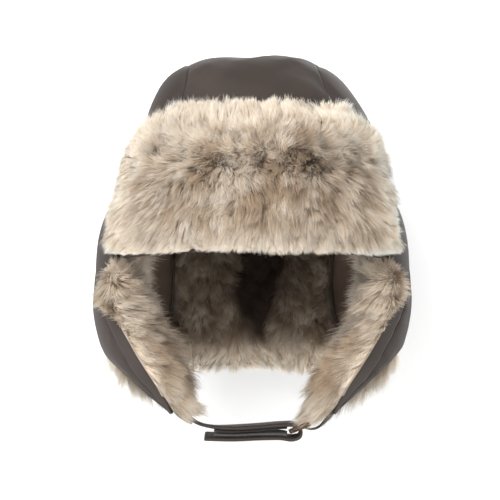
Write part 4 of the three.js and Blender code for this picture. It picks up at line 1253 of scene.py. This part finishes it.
def band_piece(name, path, across, width, thickness, material, slot):
    """A band with rounded edges along a path, closed at both ends."""
    along = unit(np.gradient(path, axis=0))
    wide = unit(across - along * dot(across, along))
    thick = unit(np.cross(along, wide))
    edge, rise = STRAP_EDGE["across"], STRAP_EDGE["up"]
    aside, up = np.concatenate((-edge, edge[-2::-1])), np.concatenate((rise, rise[-2::-1]))
    aside = np.concatenate((aside, aside[::-1])) * width
    up = np.concatenate((up, -up[::-1])) * thickness
    size = np.ones(len(path))
    size[0] = size[-1] = BAND_END
    rings = path[:, None] + wide[:, None] * aside[None, :, None]
    rings = rings + thick[:, None] * up[None, :, None] * size[:, None, None]
    around = len(aside)
    points = rings.reshape(-1, 3)
    ends = []
    for start, flip in ((0, False), ((len(path) - 1) * around, True)):
        for k in range(around // 2 - 1):
            quad = [start + k, start + k + 1, start + around - 2 - k, start + around - 1 - k]
            ends.append(quad[::-1] if flip else quad)
    faces = np.concatenate((tube_faces(len(path), around), np.array(ends)))
    corners = points[faces[:around]]
    if np.sum(face_normals(corners) * (corners.mean(axis=1) - path[0])) < 0:
        faces = faces[:, ::-1]
    cloth = np.stack(np.broadcast_arrays(aside[None], distances(path)[:, None]), axis=-1)
    cloth = cloth.reshape(-1, 2)
    return make_piece(name + "_cloth", points, faces, material, slot, [name], cloth=cloth)


def tilted(tilt):
    turn = np.radians(tilt)
    return stack(0 * turn, np.cos(turn), np.sin(turn))


def strap_frames(samples):
    points = np.stack([STRAP_ROUTE[name] for name in "xyz"], axis=1)
    path = centripetal(points, samples)
    place = np.linspace(0, len(points) - 1, samples)
    tilt = np.interp(place, np.arange(len(points)), STRAP_ROUTE["tilt"])
    return path, tilted(tilt)


def patch_path(above, samples=30):
    kept = (STRAP_ROUTE["x"] >= PATCH_ROUTE[0]) & (STRAP_ROUTE["x"] <= PATCH_ROUTE[1])
    low = STRAP_ROUTE["z"] < BETWEEN_LAYERS
    rows = {name: column[kept & (low != above)] for name, column in STRAP_ROUTE.items()}
    order = np.argsort(rows["x"])
    rows = {name: column[order] for name, column in rows.items()}
    x = np.linspace(PATCH_FROM, PATCH_TO, samples)
    tilt = reading(rows, "tilt", x)
    shift = (STRAP_THICKNESS + PATCH_THICKNESS) / 2 + PATCH_GAP
    up = (-shift if above else shift) / np.cos(np.radians(tilt))
    return stack(x, STRAP_ROUTE["y"][4], reading(rows, "z", x) + up), tilted(tilt)


def tip_path(hand, points, thickness, samples):
    inside = []
    for i, elevation in enumerate((-60.0, -63.0, -66.0)):
        depth = TIP_BAND_DEPTH + 0.3 * i + thickness / 2
        inside.append(off_body(heading(hand * TIP_BAND_AZIMUTH, elevation), -depth))
    path = centripetal(np.array(inside + [np.array(point) for point in points]), samples)
    share = np.linspace(0, 1, samples)
    round_tip = heading(hand * (TIP_BAND_AZIMUTH + 90), 0.0)
    across = mix(round_tip, np.array((0.0, 1.0, 0.0)), smoothstep(0.2, 0.6, share)[:, None])
    return path, across


def ring_at(along, aside, across=0.0):
    """Places by the ring's centre: along its short way, through its thickness, and across."""
    cos, sin = math.cos(math.radians(RING_TURN)), math.sin(math.radians(RING_TURN))
    return RING_CENTRE + stack(along * cos - aside * sin, across, along * sin + aside * cos)


def loop_points():
    bar = (RING_HEIGHT - RING_BAR) / 2
    wrap = RING_BAR / 2 + 1.8
    return [
        ring_at(bar + 5.5, -wrap - 0.6),
        ring_at(bar, -wrap),
        ring_at(bar - wrap, 0),
        ring_at(bar, wrap),
        ring_at(bar + 6, wrap + 0.2),
    ]


def make_ring():
    """A rounded bar bent into a rectangle with round corners."""
    half_long, half_tall = (RING_LENGTH - RING_BAR) / 2, (RING_HEIGHT - RING_BAR) / 2
    corner = RING_CORNER - RING_BAR / 2
    path = []
    for turn, (sx, sy) in zip((0, 90, 180, 270), ((1, 1), (-1, 1), (-1, -1), (1, -1))):
        for angle in np.radians(np.linspace(turn, turn + 90, 9)):
            x = sx * (half_long - corner) + corner * math.cos(angle)
            y = sy * (half_tall - corner) + corner * math.sin(angle)
            path.append((x, y))
    path = np.array(path)
    along = unit(np.roll(path, -1, axis=0) - np.roll(path, 1, axis=0))
    outward = np.stack((along[:, 1], -along[:, 0]), axis=1)
    angles = np.linspace(0, 2 * math.pi, 16, endpoint=False)
    flat, tall = (
        np.sign(wave) * np.abs(wave) ** RING_SQUARENESS * RING_BAR / 2
        for wave in (np.cos(angles), np.sin(angles))
    )
    level = path[:, None] + outward[:, None] * flat[None, :, None]
    points = ring_at(level[..., 1], tall[None], level[..., 0]).reshape(-1, 3)
    faces = tube_faces(len(path), len(angles), closed=True)[:, (0, 3, 2, 1)]
    corners = points[faces]
    if np.sum(corners[:, 0] * np.cross(corners[:, 1], corners[:, 2])) < 0:
        faces = faces[:, ::-1]
    make_piece("strap_ring_bar", points, faces, RING, "ring_metal", ["strap_ring"])


def make_strap():
    path, across = strap_frames(150)
    band_piece("chin_strap", path, across, STRAP_WIDTH, STRAP_THICKNESS, STRAP_CLOTH, "strap_cloth")
    for above, name in ((True, "strap_loop_tape"), (False, "strap_hook_tape")):
        path, across = patch_path(above)
        band_piece(name, path, across, PATCH_WIDTH, PATCH_THICKNESS, TAPE, "fastening_tape")
    tab = [(-45.5, -32.6, -223.8), (-39.5, -34.8, -227.5)]
    path, across = tip_path(-1, tab, TAB_THICKNESS, 30)
    band_piece("strap_tab_left", path, across, TIP_BAND_WIDTH, TAB_THICKNESS, TAB, "tab_tape")
    path, across = tip_path(1, loop_points(), LOOP_THICKNESS, 60)
    width, thickness = TIP_BAND_WIDTH, LOOP_THICKNESS
    band_piece("strap_loop_right", path, across, width, thickness, STRAP_CLOTH, "strap_cloth")
    make_ring()


make_strap()

# Floor, backdrop and light
GLOW = 0.16
FLOOR_HEIGHT = -330.0
BACKDROP_DEPTH = 135.0
BACKDROP_TOP = 2000.0
STAGE_REACH = 4000.0
ROOM_LIGHT = 0.75


def stage_finish():
    """A lit white that shows from its front only, where close shadows stay soft and pale."""
    white = (1.0, 1.0, 1.0, 1.0)
    finish = Finish(
        "lit white",
        Base_Color=(0.9, 0.9, 0.9, 1.0),
        Roughness=1.0,
        Specular_IOR_Level=0.0,
        Emission_Color=white,
        Emission_Strength=GLOW,
    )
    clear = finish.node("ShaderNodeBsdfTransparent")
    behind = finish.node("ShaderNodeNewGeometry", output="Backfacing")
    matt = Field(finish, finish.surface.outputs[0])
    shown = finish.node("ShaderNodeMixShader", None, {0: behind, 1: matt, 2: clear})
    finish.give(finish.tree.nodes["Material Output"].inputs["Surface"], shown)
    return finish.material


def stage_plane(name, low, high, material):
    """A rectangle between two opposite corners."""
    (x0, y0, z0), (x1, y1, z1) = low, high
    corners = [(x0, y0, z0), (x1, y0, z0), (x1, y1, z1), (x0, y1, z1)]
    mesh = bpy.data.meshes.new(name)
    mesh.from_pydata([Vector(corner) * MM for corner in corners], [], [(0, 1, 2, 3)])
    mesh.materials.append(material)
    plane = add_object(name, mesh)
    return plane


def area_light(name, place, power, size):
    light = bpy.data.lights.new(name, "AREA")
    light.energy, light.size = power, size
    lamp = add_object(name, light)
    lamp.location = Vector(place) * MM
    aim = CAMERA_TARGET * MM - lamp.location
    lamp.rotation_euler = aim.to_track_quat("-Z", "Y").to_euler()


def make_stage():
    white = stage_finish()
    far, floor, depth = STAGE_REACH, FLOOR_HEIGHT, BACKDROP_DEPTH
    stage_plane("floor", (-far, -far, floor), (far, far, floor), white)
    backdrop = stage_plane("backdrop", (-far, depth, floor), (far, depth, BACKDROP_TOP), white)
    for kind in ("diffuse", "glossy", "transmission", "shadow"):
        setattr(backdrop, "visible_" + kind, False)
    area_light("key", (-750, -1500, 600), 30.0, 1.1)
    area_light("fill", (900, -1500, -100), 7.0, 1.6)
    area_light("rear", (300, 1500, 700), 8.0, 1.4)
    world = bpy.data.worlds.new("studio")
    world.use_nodes = True
    background = world.node_tree.nodes["Background"]
    background.inputs["Color"].default_value = (1.0, 1.0, 1.0, 1.0)
    background.inputs["Strength"].default_value = ROOM_LIGHT
    SCENE.world = world
    SCENE.view_settings.view_transform = "Standard"
    SCENE.view_settings.look = "None"
    SCENE.view_settings.exposure = 0.0


make_stage()
